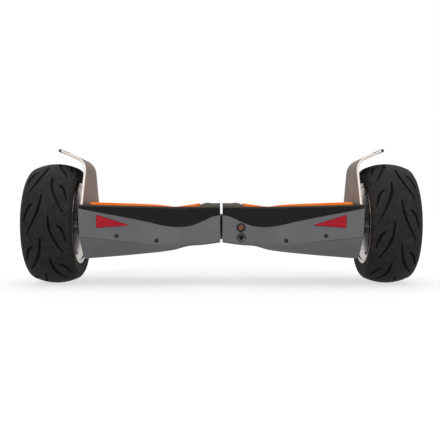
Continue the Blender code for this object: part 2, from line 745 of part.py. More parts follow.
# Screws
def screw(name, axis, head_face, inward, centre, length, head=SCREW_HEAD, shaft=SCREW_SHAFT):
    """A screw whose head's outer face and direction are given, and whose length is under its head."""
    neck = head_face + inward * SCREW_HEAD_DEPTH
    head_piece = rod(name, head, axis, head_face, neck, centre, SCREW_STEPS)
    recess = rod("drive", head * 0.45, axis, head_face - inward * 0.01,
                 head_face + inward * SCREW_HEAD_DEPTH * 0.5, centre, 6)
    head_piece = cut(head_piece, recess)
    return joined(head_piece, rod("shaft", shaft, axis, neck - inward * 0.0005,
                                  neck + inward * length, centre, SHAFT_STEPS))


SCREW_SINK = 0.0004
SCREW_BITE = 0.0068
screws = []
for number, (x, z) in enumerate(REAR_SCREWS, start=1):
    face = -half_depth(x) + SCREW_SINK
    seat = face + SCREW_HEAD_DEPTH + FIT
    piece = screw(f"right_rear_screw_{number}", "Y", face, 1, (x, z), SCREW_BITE - SCREW_HEAD_DEPTH)
    screws.append(piece)
    lower_shell = cut(
        lower_shell,
        rod("head_hole", SCREW_HEAD + FIT, "Y", face - 0.01, seat, (x, z), SCREW_STEPS),
        rod("shaft_hole", SCREW_SHAFT + FIT, "Y", face - 0.01, face + 0.02, (x, z), SHAFT_STEPS),
    )
    chassis = cut(chassis, rod("thread", SCREW_SHAFT + FIT, "Y", face - 0.01, face + 0.02, (x, z), SHAFT_STEPS))

thread_end = along_line(CREASE_LINE, CHASSIS_END) + 0.010
for number, y in enumerate((-UNDER_SCREW_Y, UNDER_SCREW_Y), start=1):
    place = (UNDER_SCREW_X, y)
    face = under_end + SCREW_SINK
    seat = face + SCREW_HEAD_DEPTH + FIT
    bite = thread_end - 0.001 - face - SCREW_HEAD_DEPTH
    screws.append(screw(f"right_under_screw_{number}", "Z", face, 1, place, bite))
    lower_shell = cut(
        lower_shell,
        rod("head_hole", SCREW_HEAD + FIT, "Z", face - 0.01, seat, place, SCREW_STEPS),
        rod("shaft_hole", SCREW_SHAFT + FIT, "Z", face - 0.01, post_top + 0.01, place, SHAFT_STEPS),
    )
    chassis = cut(chassis, rod("thread", SCREW_SHAFT + FIT, "Z", -0.05, thread_end, place, SHAFT_STEPS))

for number, y in enumerate((-FENDER_SCREW_Y, FENDER_SCREW_Y), start=1):
    place = (y, FENDER_SCREW_Z)
    face = FENDER_OUTER + FIT + SCREW_HEAD_DEPTH
    bite = face - SCREW_HEAD_DEPTH - CHASSIS_END + RIB - 0.001
    name = f"right_fender_screw_{number}"
    screws.append(screw(name, "X", face, -1, place, bite, head=FENDER_SCREW_HEAD))
    hole = SCREW_SHAFT + FIT
    fender = cut(fender, rod("hole", hole, "X", FENDER_INNER - 0.01, FENDER_OUTER + 0.01, place, SHAFT_STEPS))
    lower_shell = cut(lower_shell, rod("hole", hole, "X", SHELL_END - 0.005, BODY_END + 0.01, place, SHAFT_STEPS))
    chassis = cut(chassis, rod("hole", hole, "X", CHASSIS_END - RIB - 0.005, CHASSIS_END + 0.01, place, SHAFT_STEPS))


# Axle and the clamp that holds it in its cradle
axle_profile = [(WHEEL_X + AXLE_END, 0.0), (WHEEL_X + AXLE_END, AXLE_RADIUS), (AXLE_START, AXLE_RADIUS),
                (AXLE_START, 0.0)]
axle = turned("right_axle", axle_profile, SMALL_STEPS, half_turn=True)
axle = cut(axle, box("flat", (AXLE_START - 0.01, -0.02, -0.02), (CHASSIS_END - RIB, 0.02, -AXLE_FLAT)))
clamp_start = AXLE_START
clamp_end = CHASSIS_END - RIB - 0.0015
axle_clamp = box("right_axle_clamp", (clamp_start, -CRADLE_HALF_WIDTH, -CLAMP_DEPTH),
                 (clamp_end, CRADLE_HALF_WIDTH, -FIT))
axle_clamp = cut(axle_clamp, box("channel", (clamp_start - 0.01, -AXLE_BORE, -AXLE_FLAT - FIT),
                                 (clamp_end + 0.01, AXLE_BORE, 0.01)))
bolt_y = CRADLE_HALF_WIDTH - BOLT_INSET_Y
for x in (clamp_start + BOLT_INSET_X, clamp_end - BOLT_INSET_X):
    for y in (-bolt_y, bolt_y):
        bolt_head = rod("bolt", BOLT_HEAD_RADIUS, "Z", -CLAMP_DEPTH - BOLT_HEAD_HEIGHT,
                        -CLAMP_DEPTH + 0.001, (x, y), 6)
        axle_clamp = joined(axle_clamp, bolt_head)


# Sensor board under the footpad, with two forked light gates
BLADE_HALF_LENGTH = 0.004
BLADE_HALF_THICKNESS = 0.001
GATE_HALF_LENGTH = 0.0045
GATE_HALF_WIDTH = 0.006
GATE_SLOT = 0.0018
sensor_board = box("right_sensor_board", (SENSOR_BOARD_START, -SENSOR_BOARD_HALF_WIDTH, SENSOR_BOARD_BASE),
                   (SENSOR_BOARD_END, SENSOR_BOARD_HALF_WIDTH, SENSOR_BOARD_TOP))
for x in BLADE_PLACES:
    gate = box("gate", (x - GATE_HALF_LENGTH, -GATE_HALF_WIDTH, SENSOR_BOARD_TOP - 0.0005),
               (x + GATE_HALF_LENGTH, GATE_HALF_WIDTH, SENSOR_TOP))
    sensor_board = joined(sensor_board, gate)
    slot = box("slot", (x - GATE_SLOT, -GATE_HALF_WIDTH - 0.001, BLADE_TIP - PAD_TRAVEL - FIT),
               (x + GATE_SLOT, GATE_HALF_WIDTH + 0.001, SENSOR_TOP + 0.001))
    sensor_board = cut(sensor_board, slot)


# Footpad: a rubber mat on a plate that is trapped under the deck and presses the sensors
pad = slab("right_footpad", [pad_outline(0.0)], "Z", PAD_FLANGE_BASE, DECK + 0.012)
pad_top = smooth_line(PAD_LINE, 2)
pad = common(pad, under_line("pad_top", pad_top, PAD_FLANGE_BASE - 0.001, 0.0, BODY_END))
flange = slab("flange", [pad_outline(PAD_FLANGE)], "Z", PAD_FLANGE_BASE, PAD_FLANGE_TOP)
pad = joined(pad, flange)
hollow_outline = slab("right_footpad", [pad_outline(-PAD_SKIN)], "Z", PAD_FLANGE_BASE - 0.01, DECK + 0.02)
underside = common(hollow_outline, under_line("under_skin", pad_top, -0.01, 0.0, BODY_END, -PAD_SKIN))
pad = cut(pad, underside)
pad.name = "right_footpad"
for x in BLADE_PLACES:
    blade = box("blade", (x - BLADE_HALF_THICKNESS, -BLADE_HALF_LENGTH, BLADE_TIP),
                (x + BLADE_HALF_THICKNESS, BLADE_HALF_LENGTH, along_line(pad_top, x) - PAD_SKIN / 2))
    pad = joined(pad, blade)
LAND_START = BODY_END - 0.1095
LAND_END = BODY_END - 0.0715
groove_count = int((PAD_END - PAD_START - 0.03) / PAD_GROOVE_PITCH)
for number in range(groove_count):
    x = PAD_START + 0.018 + number * PAD_GROOVE_PITCH
    if LAND_START - PAD_GROOVE_WIDTH < x < LAND_END:
        continue
    half = half_depth(x) - PAD_MARGIN - PAD_CORNER
    floor = along_line(pad_top, x) - PAD_GROOVE_DEPTH
    groove = box("groove", (x, -half, floor), (x + PAD_GROOVE_WIDTH, half, DECK + 0.02))
    pad = cut(pad, groove)


# Pieces of the right half that the left half has too
def both(piece, material):
    """Dress a piece of the right half and mirror it to the left."""
    twin = mirrored(piece, piece.name.replace("right_", "left_"))
    return dressed(twin, material), dressed(piece, material)


left_upper_shell, right_upper_shell = both(upper_shell, BLACK_SHELL)
left_lower_shell = mirrored(lower_shell, "left_lower_shell")
dressed(left_lower_shell, GREY_SHELL)
left_chassis = mirrored(chassis, "left_chassis")

half_pieces = {"left": [left_upper_shell, left_lower_shell], "right": [right_upper_shell]}
for piece, material in (
    (fender, FENDER_METAL), (fender_trim, TRIM_RUBBER), (rear_reflector, RED_LENS),
    (front_lamp, CLEAR_LENS), (indicator_lens, CLEAR_LENS), (axle, STEEL), (axle_clamp, STEEL),
    (sensor_board, BOARD_GREEN), *((item, DARK_STEEL) for item in screws),
):
    left, right = both(piece, material)
    half_pieces["left"].append(left)
    half_pieces["right"].append(right)
left_pad, right_pad = both(pad, ORANGE_MAT)


# Pivot: a flanged tube fixed in the right sleeve that turns in a bush in the left one
left_chassis = cut(left_chassis, rod("bore", BUSH_RADIUS + FIT, "X", 0.01, -SLEEVE_END - 0.01,
                                     steps=DISC_STEPS))
left_chassis.name = "left_chassis"
chassis = cut(chassis, rod("bore", TUBE_RADIUS + FIT, "X", -0.01, SLEEVE_END + 0.01, steps=DISC_STEPS))
flange_half = UPPER_START - FIT
ring_start = -SLEEVE_END - FIT
ring_end = ring_start - RETAINER_THICKNESS
tube_profile = [
    (SLEEVE_END, TUBE_RADIUS), (flange_half, TUBE_RADIUS), (flange_half, TUBE_RADIUS + TUBE_FLANGE),
    (-flange_half, TUBE_RADIUS + TUBE_FLANGE), (-flange_half, TUBE_RADIUS), (ring_start, TUBE_RADIUS),
    (ring_start, TUBE_RADIUS + TUBE_FLANGE), (ring_end, TUBE_RADIUS + TUBE_FLANGE),
    (ring_end, TUBE_BORE), (SLEEVE_END, TUBE_BORE),
]
pivot_tube = dressed(turned("pivot_tube", tube_profile, DISC_STEPS), STEEL)
bush_profile = [(-SLEEVE_START - FIT, BUSH_RADIUS), (-SLEEVE_END + FIT, BUSH_RADIUS),
                (-SLEEVE_END + FIT, BUSH_BORE), (-SLEEVE_START - FIT, BUSH_BORE)]
pivot_bush = dressed(turned("pivot_bush", bush_profile, DISC_STEPS), BRONZE)
half_pieces["left"] += [dressed(left_chassis, CAST_METAL), pivot_bush]
half_pieces["right"].append(pivot_tube)


# Power button with its ring, and the charging socket, in the back of the right half
def wall_fitting(name, x, z, bore, bore_depth):
    """A ring with a barrel that goes through the shell's back wall, open to the outside."""
    wall = -half_depth(x)
    face = wall - FIT - BEZEL_THICKNESS
    fitting = rod(name, BEZEL_RADIUS, "Y", face, wall - FIT, (x, z), SMALL_STEPS)
    barrel = rod("barrel", BARREL_RADIUS, "Y", wall - FIT - 0.0005, wall + BARREL_DEPTH, (x, z), SMALL_STEPS)
    fitting = joined(fitting, barrel)
    return cut(fitting, rod("bore", bore, "Y", face - 0.01, face + bore_depth, (x, z), SMALL_STEPS))


button_bore_depth = BARREL_DEPTH + BEZEL_THICKNESS - 0.0015
power_button_bezel = wall_fitting("power_button_bezel", BUTTON_X, BUTTON_Z, BUTTON_RADIUS + FIT,
                                  button_bore_depth)
button_face = -half_depth(BUTTON_X) - FIT - BEZEL_THICKNESS - BUTTON_PROUD
button_end = button_face + BUTTON_PROUD + button_bore_depth - BUTTON_TRAVEL - 2 * FIT
power_button = rod("power_button", BUTTON_RADIUS, "Y", button_face, button_end, (BUTTON_X, BUTTON_Z),
                   SMALL_STEPS)
charge_port = wall_fitting("charge_port", SOCKET_X, SOCKET_Z, SOCKET_BORE, SOCKET_DEPTH)
socket_floor = -half_depth(SOCKET_X) - FIT - BEZEL_THICKNESS + SOCKET_DEPTH
for degrees in (90, 210, 330):
    angle = math.radians(degrees)
    place = (SOCKET_X + 0.0032 * math.cos(angle), SOCKET_Z + 0.0032 * math.sin(angle))
    pin = rod("pin", PIN_RADIUS, "Y", socket_floor - PIN_LENGTH, socket_floor + 0.0005, place, SHAFT_STEPS)
    charge_port = joined(charge_port, pin)
for x, z in ((BUTTON_X, BUTTON_Z), (SOCKET_X, SOCKET_Z)):
    wall = -half_depth(x)
    hole = rod("hole", BARREL_RADIUS + FIT, "Y", wall - 0.01, wall + WALL + 0.002, (x, z), SMALL_STEPS)
    seat = rod("seat", BEZEL_RADIUS + FIT, "Y", wall - 0.01, wall, (x, z), SMALL_STEPS)
    lower_shell = cut(lower_shell, hole, seat)
    passage = rod("passage", BARREL_RADIUS + 2 * FIT, "Y", wall - 0.01, wall + 0.02, (x, z), SMALL_STEPS)
    chassis = cut(chassis, passage)
lower_shell.name = "right_lower_shell"
chassis.name = "right_chassis"
half_pieces["right"] += [
    dressed(lower_shell, GREY_SHELL), dressed(chassis, CAST_METAL),
    dressed(power_button_bezel, CHROMED), dressed(charge_port, CHROMED),
]
dressed(power_button, BUTTON_BROWN)


# Battery under the left plate, main board under the right one, and the cable between them
battery_top = PLATE_UNDERSIDE - FIT
battery_pack = box("battery_pack", (-BATTERY_END, -BATTERY_HALF_WIDTH, battery_top - BATTERY_DEPTH),
                   (-BATTERY_START, BATTERY_HALF_WIDTH, battery_top))
rounding = battery_pack.modifiers.new("edges", "BEVEL")
rounding.width = 0.003
rounding.segments = 2
battery_pack = dressed(settled(battery_pack), BLUE_WRAP)
half_pieces["left"].append(battery_pack)

board_top = PLATE_UNDERSIDE - FIT - STANDOFF
board_base = board_top - BOARD_THICKNESS
board_low_y = MAIN_BOARD_Y - MAIN_BOARD_HALF_WIDTH
board_high_y = MAIN_BOARD_Y + MAIN_BOARD_HALF_WIDTH
main_board = box("main_board", (MAIN_BOARD_START, board_low_y, board_base),
                 (MAIN_BOARD_END, board_high_y, board_top))
for x in (MAIN_BOARD_START + 0.006, MAIN_BOARD_END - 0.006):
    for y in (board_low_y + 0.006, board_high_y - 0.006):
        standoff = rod("standoff", 0.003, "Z", board_top - 0.0005, PLATE_UNDERSIDE - FIT, (x, y),
                       SHAFT_STEPS)
        main_board = joined(main_board, standoff)
connector_start = MAIN_BOARD_START - 0.003
sink_start = MAIN_BOARD_START + HEAT_SINK_MARGIN
sink_end = MAIN_BOARD_END - HEAT_SINK_MARGIN
sink_low_y = board_low_y + HEAT_SINK_MARGIN
sink_high_y = board_high_y - HEAT_SINK_MARGIN
sink_base = board_base - HEAT_SINK_DEPTH
main_board = joined(
    main_board,
    box("connector", (connector_start, -0.010, board_top - 0.0005),
        (MAIN_BOARD_START + 0.012, 0.010, CONNECTOR_HALF_HEIGHT)),
    box("heat_sink", (sink_start, sink_low_y, sink_base), (sink_end, sink_high_y, board_base + 0.0005)),
)
fin_pitch = (sink_high_y - sink_low_y) / HEAT_SINK_FINS
for number in range(HEAT_SINK_FINS - 1):
    y = sink_low_y + fin_pitch * (number + 0.75)
    gap = box("fin_gap", (sink_start - 0.01, y, sink_base - 0.01),
              (sink_end + 0.01, y + fin_pitch / 2, board_base - HEAT_SINK_DEPTH * 0.4))
    main_board = cut(main_board, gap)
for y in (board_low_y + 0.02, board_high_y - 0.02):
    can = rod("capacitor", CAPACITOR_RADIUS, "Z", board_top - 0.0005, board_top + CAPACITOR_HEIGHT,
              (MAIN_BOARD_END - 0.018, y), SCREW_STEPS)
    main_board = joined(main_board, can)
half_pieces["right"].append(dressed(main_board, BOARD_GREEN))

harness_start = -BATTERY_START + FIT
harness_end = connector_start - FIT
cable = bpy.data.curves.new("wire_harness", "CURVE")
cable.dimensions = "3D"
cable.bevel_depth = HARNESS_RADIUS
cable.bevel_resolution = 2
cable.use_fill_caps = True
route = cable.splines.new("POLY")
route.points.add(1)
route.points[0].co = (harness_start, 0.0, 0.0, 1.0)
route.points[1].co = (harness_end, 0.0, 0.0, 1.0)
wire_harness = dressed(welded(settled(piece_from("wire_harness", cable))), BLACK_PLASTIC)
half_pieces["right"].append(wire_harness)


# Wheel: distances are from its middle plane, outwards from the body
def tyre_profile():
    """Half of the tyre's outer side from the tread's middle to the bead, mirrored, then its bore."""
    side = [(TREAD_FLAT, TYRE_RADIUS)]
    shoulder = TYRE_HALF_WIDTH - SHOULDER_RADIUS
    crown_centre = TYRE_RADIUS - CROWN_RADIUS
    tilt = math.asin(shoulder / (CROWN_RADIUS - SHOULDER_RADIUS))
    shoulder_height = crown_centre + (CROWN_RADIUS - SHOULDER_RADIUS) * math.cos(tilt)
    for share in (0.6, 1.0):
        angle = tilt * share
        side.append((CROWN_RADIUS * math.sin(angle), crown_centre + CROWN_RADIUS * math.cos(angle)))
    for share in (0.5, 1.0):
        angle = math.pi / 2 - tilt - (math.pi / 2 - tilt) * share
        side.append((shoulder + SHOULDER_RADIUS * math.cos(angle),
                     shoulder_height + SHOULDER_RADIUS * math.sin(angle)))
    bead = FLANGE_RADIUS + FIT
    side.append((TYRE_HALF_WIDTH - 0.001, (shoulder_height + bead) / 2))
    side.append((TYRE_HALF_WIDTH - 0.0025, bead))
    side.append((BEAD_HALF_WIDTH, bead))
    side.append((BEAD_HALF_WIDTH, RIM_RADIUS + FIT))
    return list(reversed(side)) + [(-along, radius) for along, radius in side]


tyre = turned("right_tyre", tyre_profile(), TYRE_STEPS, half_turn=True)
rim_profile = [
    (FLANGE_END, FLANGE_RADIUS), (FLANGE_START, FLANGE_RADIUS), (FLANGE_START, RIM_RADIUS),
    (-FLANGE_START, RIM_RADIUS), (-FLANGE_START, FLANGE_RADIUS), (-FLANGE_END, FLANGE_RADIUS),
    (-FLANGE_END, COVER_SEAT + 0.0012), (COVER_OUTER - 0.0005, COVER_SEAT),
    (COVER_INNER + FIT, COVER_SEAT), (COVER_INNER + FIT, RIM_BORE), (WEB_START, RIM_BORE),
    (WEB_START, BOSS_RADIUS), (OUTER_BEARING_END - BEARING_WIDTH - 0.0005, BOSS_RADIUS),
    (OUTER_BEARING_END - BEARING_WIDTH - 0.0005, BEARING_BORE), (WEB_END, BEARING_BORE),
    (WEB_END, RIM_BORE - 0.003), (FLANGE_END, COVER_SEAT + 0.0012),
]
rim = turned("right_rim", rim_profile, RIM_STEPS, half_turn=True)
pocket_circle = (BOSS_RADIUS + RIM_BORE) / 2
for number in range(WEB_POCKETS):
    angle = math.tau * number / WEB_POCKETS
    centre = (pocket_circle * math.sin(angle), pocket_circle * math.cos(angle))
    rim = cut(rim, rod("pocket", WEB_POCKET_RADIUS, "X", WEB_END - WEB_POCKET_DEPTH, WEB_END + 0.02, centre,
                       SCREW_STEPS))

cover_profile = [
    (COVER_INNER, COVER_SEAT - FIT), (COVER_OUTER, COVER_SEAT - FIT), (COVER_OUTER, BOSS_RADIUS),
    (INNER_BEARING_START - 0.0005, BOSS_RADIUS), (INNER_BEARING_START - 0.0005, BEARING_BORE),
    (INNER_BEARING_START + BEARING_WIDTH - 0.0003, BEARING_BORE),
    (INNER_BEARING_START + BEARING_WIDTH - 0.0003, BOSS_RADIUS), (COVER_INNER, BOSS_RADIUS),
]
motor_cover = turned("right_motor_cover", cover_profile, RIM_STEPS, half_turn=True)


def ring(name, outer, inner, start, end, steps):
    """A plain ring about the axle line."""
    return turned(name, [(end, outer), (start, outer), (start, inner), (end, inner)], steps, True)


magnet_outer = RIM_BORE - FIT
magnet_inner = magnet_outer - MAGNET_THICKNESS
magnet_ring = ring("right_magnet_ring", magnet_outer, magnet_inner, STATOR_START, STATOR_END, RIM_STEPS)
inner_bearing = ring("right_inner_bearing", BEARING_RADIUS, AXLE_BORE, INNER_BEARING_START,
                     INNER_BEARING_START + BEARING_WIDTH, SMALL_STEPS)
outer_bearing = ring("right_outer_bearing", BEARING_RADIUS, AXLE_BORE, OUTER_BEARING_END - BEARING_WIDTH,
                     OUTER_BEARING_END, SMALL_STEPS)
cap_base = WEB_END + FIT
cap_profile = [(cap_base + HUB_CAP_HEIGHT, 0.0)]
for share in (0.35, 0.6, 0.8, 0.95):
    drop = HUB_CAP_HEIGHT * 0.7 * share ** 2
    cap_profile.append((cap_base + HUB_CAP_HEIGHT - drop, HUB_CAP_RADIUS * share))
cap_profile += [(cap_base + HUB_CAP_HEIGHT * 0.2, HUB_CAP_RADIUS), (cap_base, HUB_CAP_RADIUS), (cap_base, 0.0)]
hub_cap = turned("right_hub_cap", cap_profile, SMALL_STEPS)

# Stator: a toothed ring keyed to the axle
stator_radius = magnet_inner - AIR_GAP
TOOTH_ROOT = 0.042
TOOTH_TIP = 0.003
TOOTH_HALF_ANGLE = math.tau / STATOR_TEETH * 0.42
STEM_HALF_ANGLE = math.tau / STATOR_TEETH * 0.20
stator_outline = []
for number in range(STATOR_TEETH):
    middle = math.tau * number / STATOR_TEETH
    for radius, shift in ((TOOTH_ROOT, -STEM_HALF_ANGLE), (stator_radius - TOOTH_TIP, -STEM_HALF_ANGLE),
                          (stator_radius, -TOOTH_HALF_ANGLE), (stator_radius, TOOTH_HALF_ANGLE),
                          (stator_radius - TOOTH_TIP, STEM_HALF_ANGLE), (TOOTH_ROOT, STEM_HALF_ANGLE)):
        stator_outline.append((radius * math.cos(middle + shift), radius * math.sin(middle + shift)))
bore_outline = []
for number in range(SMALL_STEPS):
    angle = math.tau * number / SMALL_STEPS
    bore_radius = AXLE_BORE / math.cos(math.pi / SMALL_STEPS)
    bore_outline.append((bore_radius * math.cos(angle), bore_radius * math.sin(angle)))
stator = slab("right_stator", [stator_outline, bore_outline], "X", STATOR_START, STATOR_END)


# Empties that carry the pieces, each on the axis about or along which it moves
def carrier(name, place, parent=None):
    empty = bpy.data.objects.new(name, None)
    empty.empty_display_size = 0.03
    empty.location = place
    empty.parent = parent
    bpy.context.scene.collection.objects.link(empty)
    return empty


def carry(empty, items):
    for item in items:
        item.parent = empty


def moved(piece, x, y, z):
    """Shift a piece's points, where its carrier lies away from the axle line."""
    piece.data.transform(Matrix.Translation((x, y, z)))
    return piece


board = carrier("board", (0.0, 0.0, AXLE_HEIGHT))
left_half = carrier("left_half", (0.0, 0.0, 0.0), board)
right_half = carrier("right_half", (0.0, 0.0, 0.0), board)
carry(left_half, half_pieces["left"])
carry(right_half, half_pieces["right"])
carry(carrier("left_footpad_slide", (0.0, 0.0, 0.0), left_half), [left_pad])
carry(carrier("right_footpad_slide", (0.0, 0.0, 0.0), right_half), [right_pad])
button_place = (BUTTON_X, -half_depth(BUTTON_X), BUTTON_Z)
button_carrier = carrier("power_button_slide", button_place, right_half)
carry(button_carrier, [moved(power_button, *(-value for value in button_place))])

for side, half in (("left", left_half), ("right", right_half)):
    sign = -1 if side == "left" else 1
    hub = carrier(f"{side}_hub", (sign * WHEEL_X, 0.0, 0.0), half)
    wheel = carrier(f"{side}_wheel", (sign * WHEEL_X, 0.0, 0.0), half)
    for piece, material, holder in (
        (tyre, TYRE_RUBBER, wheel), (rim, RIM_METAL, wheel), (motor_cover, RIM_METAL, wheel),
        (magnet_ring, MAGNET, wheel), (inner_bearing, STEEL, wheel), (outer_bearing, STEEL, wheel),
        (hub_cap, BLACK_PLASTIC, wheel), (stator, WINDING, hub),
    ):
        item = mirrored(piece, piece.name.replace("right_", "left_")) if side == "left" else piece
        carry(holder, [dressed(item, material)])
bpy.context.view_layer.update()
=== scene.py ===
"""Looks of a two-wheeled self-balancing board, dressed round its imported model, in metres with +Z up.

Pieces are modelled about the axle line, the right half first, and lifted to their height when they
are fixed to their body. The left half takes their mirror images.
"""

import json
import math

import bpy
from mathutils import Matrix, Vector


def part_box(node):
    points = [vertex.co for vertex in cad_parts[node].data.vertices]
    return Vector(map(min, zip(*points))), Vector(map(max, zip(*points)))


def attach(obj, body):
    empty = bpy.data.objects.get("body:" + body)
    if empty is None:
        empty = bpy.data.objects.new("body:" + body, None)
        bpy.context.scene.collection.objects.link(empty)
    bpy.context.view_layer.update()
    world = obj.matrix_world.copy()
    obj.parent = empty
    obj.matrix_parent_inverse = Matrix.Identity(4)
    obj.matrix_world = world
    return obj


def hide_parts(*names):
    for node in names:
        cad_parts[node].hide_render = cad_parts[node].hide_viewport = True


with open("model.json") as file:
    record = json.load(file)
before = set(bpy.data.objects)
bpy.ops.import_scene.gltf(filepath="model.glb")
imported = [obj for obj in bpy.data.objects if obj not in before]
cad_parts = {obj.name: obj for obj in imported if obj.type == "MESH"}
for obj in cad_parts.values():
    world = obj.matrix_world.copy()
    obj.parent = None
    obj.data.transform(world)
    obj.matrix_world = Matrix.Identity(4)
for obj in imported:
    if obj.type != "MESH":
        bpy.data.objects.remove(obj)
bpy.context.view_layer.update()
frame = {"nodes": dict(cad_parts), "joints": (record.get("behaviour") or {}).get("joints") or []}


# Camera
# The board is seen from behind, level with its deck, through a lens a little longer than normal.
# The camera looks straight ahead, and a small shift puts the horizon and the board's middle in place.
PHOTO_SIZE = 440
FOCAL_PIXELS = 685
HORIZON_ROW = 213
MIDDLE_COLUMN = 221.35
CAMERA_DISTANCE = 1.25
CAMERA_HEIGHT = 0.1264
camera_data = bpy.data.cameras.new("camera")
camera_data.lens = camera_data.sensor_width * FOCAL_PIXELS / PHOTO_SIZE
camera_data.shift_x = (PHOTO_SIZE / 2 - MIDDLE_COLUMN) / PHOTO_SIZE
camera_data.shift_y = (HORIZON_ROW - PHOTO_SIZE / 2) / PHOTO_SIZE
camera = bpy.data.objects.new("camera", camera_data)
camera.location = (0.0, -CAMERA_DISTANCE, CAMERA_HEIGHT)
camera.rotation_euler = (math.pi / 2, 0.0, 0.0)
bpy.context.scene.collection.objects.link(camera)
bpy.context.scene.camera = camera


# Frame castings
# Each half is built on a pressure-cast aluminium tray that carries the axle, the boards and the shells.
# It is shot-blasted after casting and stays bare, so it is pale, rough and a little uneven.
def linear(colour):
    """A linear colour from an sRGB hex value."""
    channels = [int(colour[i:i + 2], 16) / 255 for i in (0, 2, 4)]
    return (*(c / 12.92 if c <= 0.04045 else ((c + 0.055) / 1.055) ** 2.4 for c in channels), 1.0)


def add_node(tree, kind, inputs=None, **settings):
    """Add a node with its settings, and with values or links on its inputs."""
    node = tree.nodes.new(kind)
    for name, value in settings.items():
        setattr(node, name, value)
    for name, value in (inputs or {}).items():
        if isinstance(value, bpy.types.NodeSocket):
            tree.links.new(value, node.inputs[name])
        else:
            node.inputs[name].default_value = value
    return node


MM_PER_M = 1000
TONE_ENDS = (0.35, 0.65)


def new_material(name, sockets):
    """A material, its node tree and the place on the object, with what is even all over set on the shader."""
    material = bpy.data.materials.new(name)
    material.use_nodes = True
    tree = material.node_tree
    for socket, value in sockets.items():
        tree.nodes["Principled BSDF"].inputs[socket].default_value = value
    return material, tree, add_node(tree, "ShaderNodeTexCoord").outputs["Object"]


def patterned(material, tones, rough=None, relief=None):
    """Let patterns' values drive a surface's colour between two tones, its roughness and its height."""
    tree = material.node_tree
    shader = tree.nodes["Principled BSDF"]
    pattern, dark, light, *ends = tones
    ramp = add_node(tree, "ShaderNodeValToRGB", {"Fac": pattern})
    for element, position, colour in zip(ramp.color_ramp.elements, ends or TONE_ENDS, (dark, light)):
        element.position = position
        element.color = linear(colour)
    tree.links.new(ramp.outputs["Color"], shader.inputs["Base Color"])
    if rough:
        pattern, low, high = rough
        spread = add_node(tree, "ShaderNodeMapRange", {"Value": pattern, "To Min": low, "To Max": high})
        tree.links.new(spread.outputs["Result"], shader.inputs["Roughness"])
    if relief:
        pattern, depth_mm = relief
        bump = add_node(tree, "ShaderNodeBump", {"Height": pattern, "Distance": depth_mm / MM_PER_M})
        tree.links.new(bump.outputs["Normal"], shader.inputs["Normal"])
    return material


def mottled(name, sockets, size_mm, detail, tones, rough=None, depth_mm=None):
    """A material with one cloudy pattern, of patches this large, in its colour, roughness and height."""
    material, tree, place = new_material(name, sockets)
    cloud = add_node(tree, "ShaderNodeTexNoise", {"Vector": place, "Scale": MM_PER_M / size_mm,
                                                  "Detail": detail})
    patches = cloud.outputs["Fac"]
    return patterned(material, (patches, *tones), rough and (patches, *rough),
                     depth_mm and (patches, depth_mm))


def cast_aluminium():
    """Shot-blasted casting: pale grey, softly pitted, no clear reflection."""
    return mottled("shot_blasted_cast_aluminium", {"Metallic": 1.0}, 1.2, 3.0, ("a6a6a6", "bdbcba"),
                   (0.5, 0.7), 0.08)


def finish_nodes(material, *nodes):
    """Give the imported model's own nodes a finish."""
    for name in nodes:
        item = frame["nodes"][name]
        item.data.materials.clear()
        item.data.materials.append(material)


SIDES = ("left", "right")


def on_both(*names):
    """The names of a piece of each half."""
    return [f"{side}_{name}" for name in names for side in SIDES]


finish_nodes(cast_aluminium(), *on_both("chassis"))


# Axles and clamps
# A steel shaft with a flat on one side lies in a cradle of the casting, under a bolted steel clamp.
# Both are turned or milled and ground, which leaves fine rings and a soft shine.

# At a scale of 1, a wave pattern's bands lie this many millimetres apart
WAVE_MM = 314


def ground_steel():
    """Machined steel: grey, with fine tool lines across the length."""
    material, tree, place = new_material("ground_steel", {"Metallic": 1.0})
    lines = add_node(tree, "ShaderNodeTexWave", {"Vector": place, "Scale": WAVE_MM / 1.6, "Distortion": 2.0,
                                                 "Detail": 2.0})
    return patterned(material, (lines.outputs["Fac"], "a3a3a5", "b9b9ba", 0.2, 0.8),
                     (lines.outputs["Fac"], 0.25, 0.4), (lines.outputs["Fac"], 0.01))


steel = ground_steel()
finish_nodes(steel, *on_both("axle", "axle_clamp", "inner_bearing", "outer_bearing"))


# Pivot
# A flanged steel tube is pressed into the right casting and turns in a sintered bronze bush in the left
# one, and the cable between the halves runs through it. Both are turned and oiled, so they look dark.
def oiled_steel():
    """Oiled black steel: dark, with a thin cloudy film of oil."""
    return mottled("oiled_black_steel", {"Metallic": 1.0}, 4.0, 4.0, ("232324", "363637"), (0.25, 0.45))


def sintered_bronze():
    """Sintered bronze: warm brown, finely porous."""
    material, tree, place = new_material("sintered_bronze", {"Metallic": 1.0, "Roughness": 0.45})
    pores = add_node(tree, "ShaderNodeTexVoronoi", {"Vector": place, "Scale": MM_PER_M / 0.9})
    return patterned(material, (pores.outputs["Distance"], "8a6538", "b08a55", 0.1, 0.5),
                     relief=(pores.outputs["Distance"], 0.03))


def moulded_nylon():
    """Moulded nylon: black and matt, with a faint grain."""
    return mottled("moulded_black_nylon", {"IOR": 1.53, "Specular IOR Level": 0.15}, 0.7, 2.0,
                   ("121212", "1b1b1b"), (0.42, 0.58), 0.04)


nylon = moulded_nylon()
finish_nodes(oiled_steel(), "pivot_tube")
finish_nodes(sintered_bronze(), "pivot_bush")
finish_nodes(nylon, "wire_harness")


# Battery and boards
# Wrapped cells hang under the left casting, and the control board with its finned heat sink under the
# right one. A board with two light gates lies under each footpad. All have green or blue coatings.
def shrink_film():
    """Heat-shrink film: blue and glossy, slightly wrinkled over the cells."""
    return mottled("blue_shrink_film", {"IOR": 1.53, "Roughness": 0.25}, 18.0, 3.0, ("1c4a8c", "2a5fa8"),
                   depth_mm=0.8)


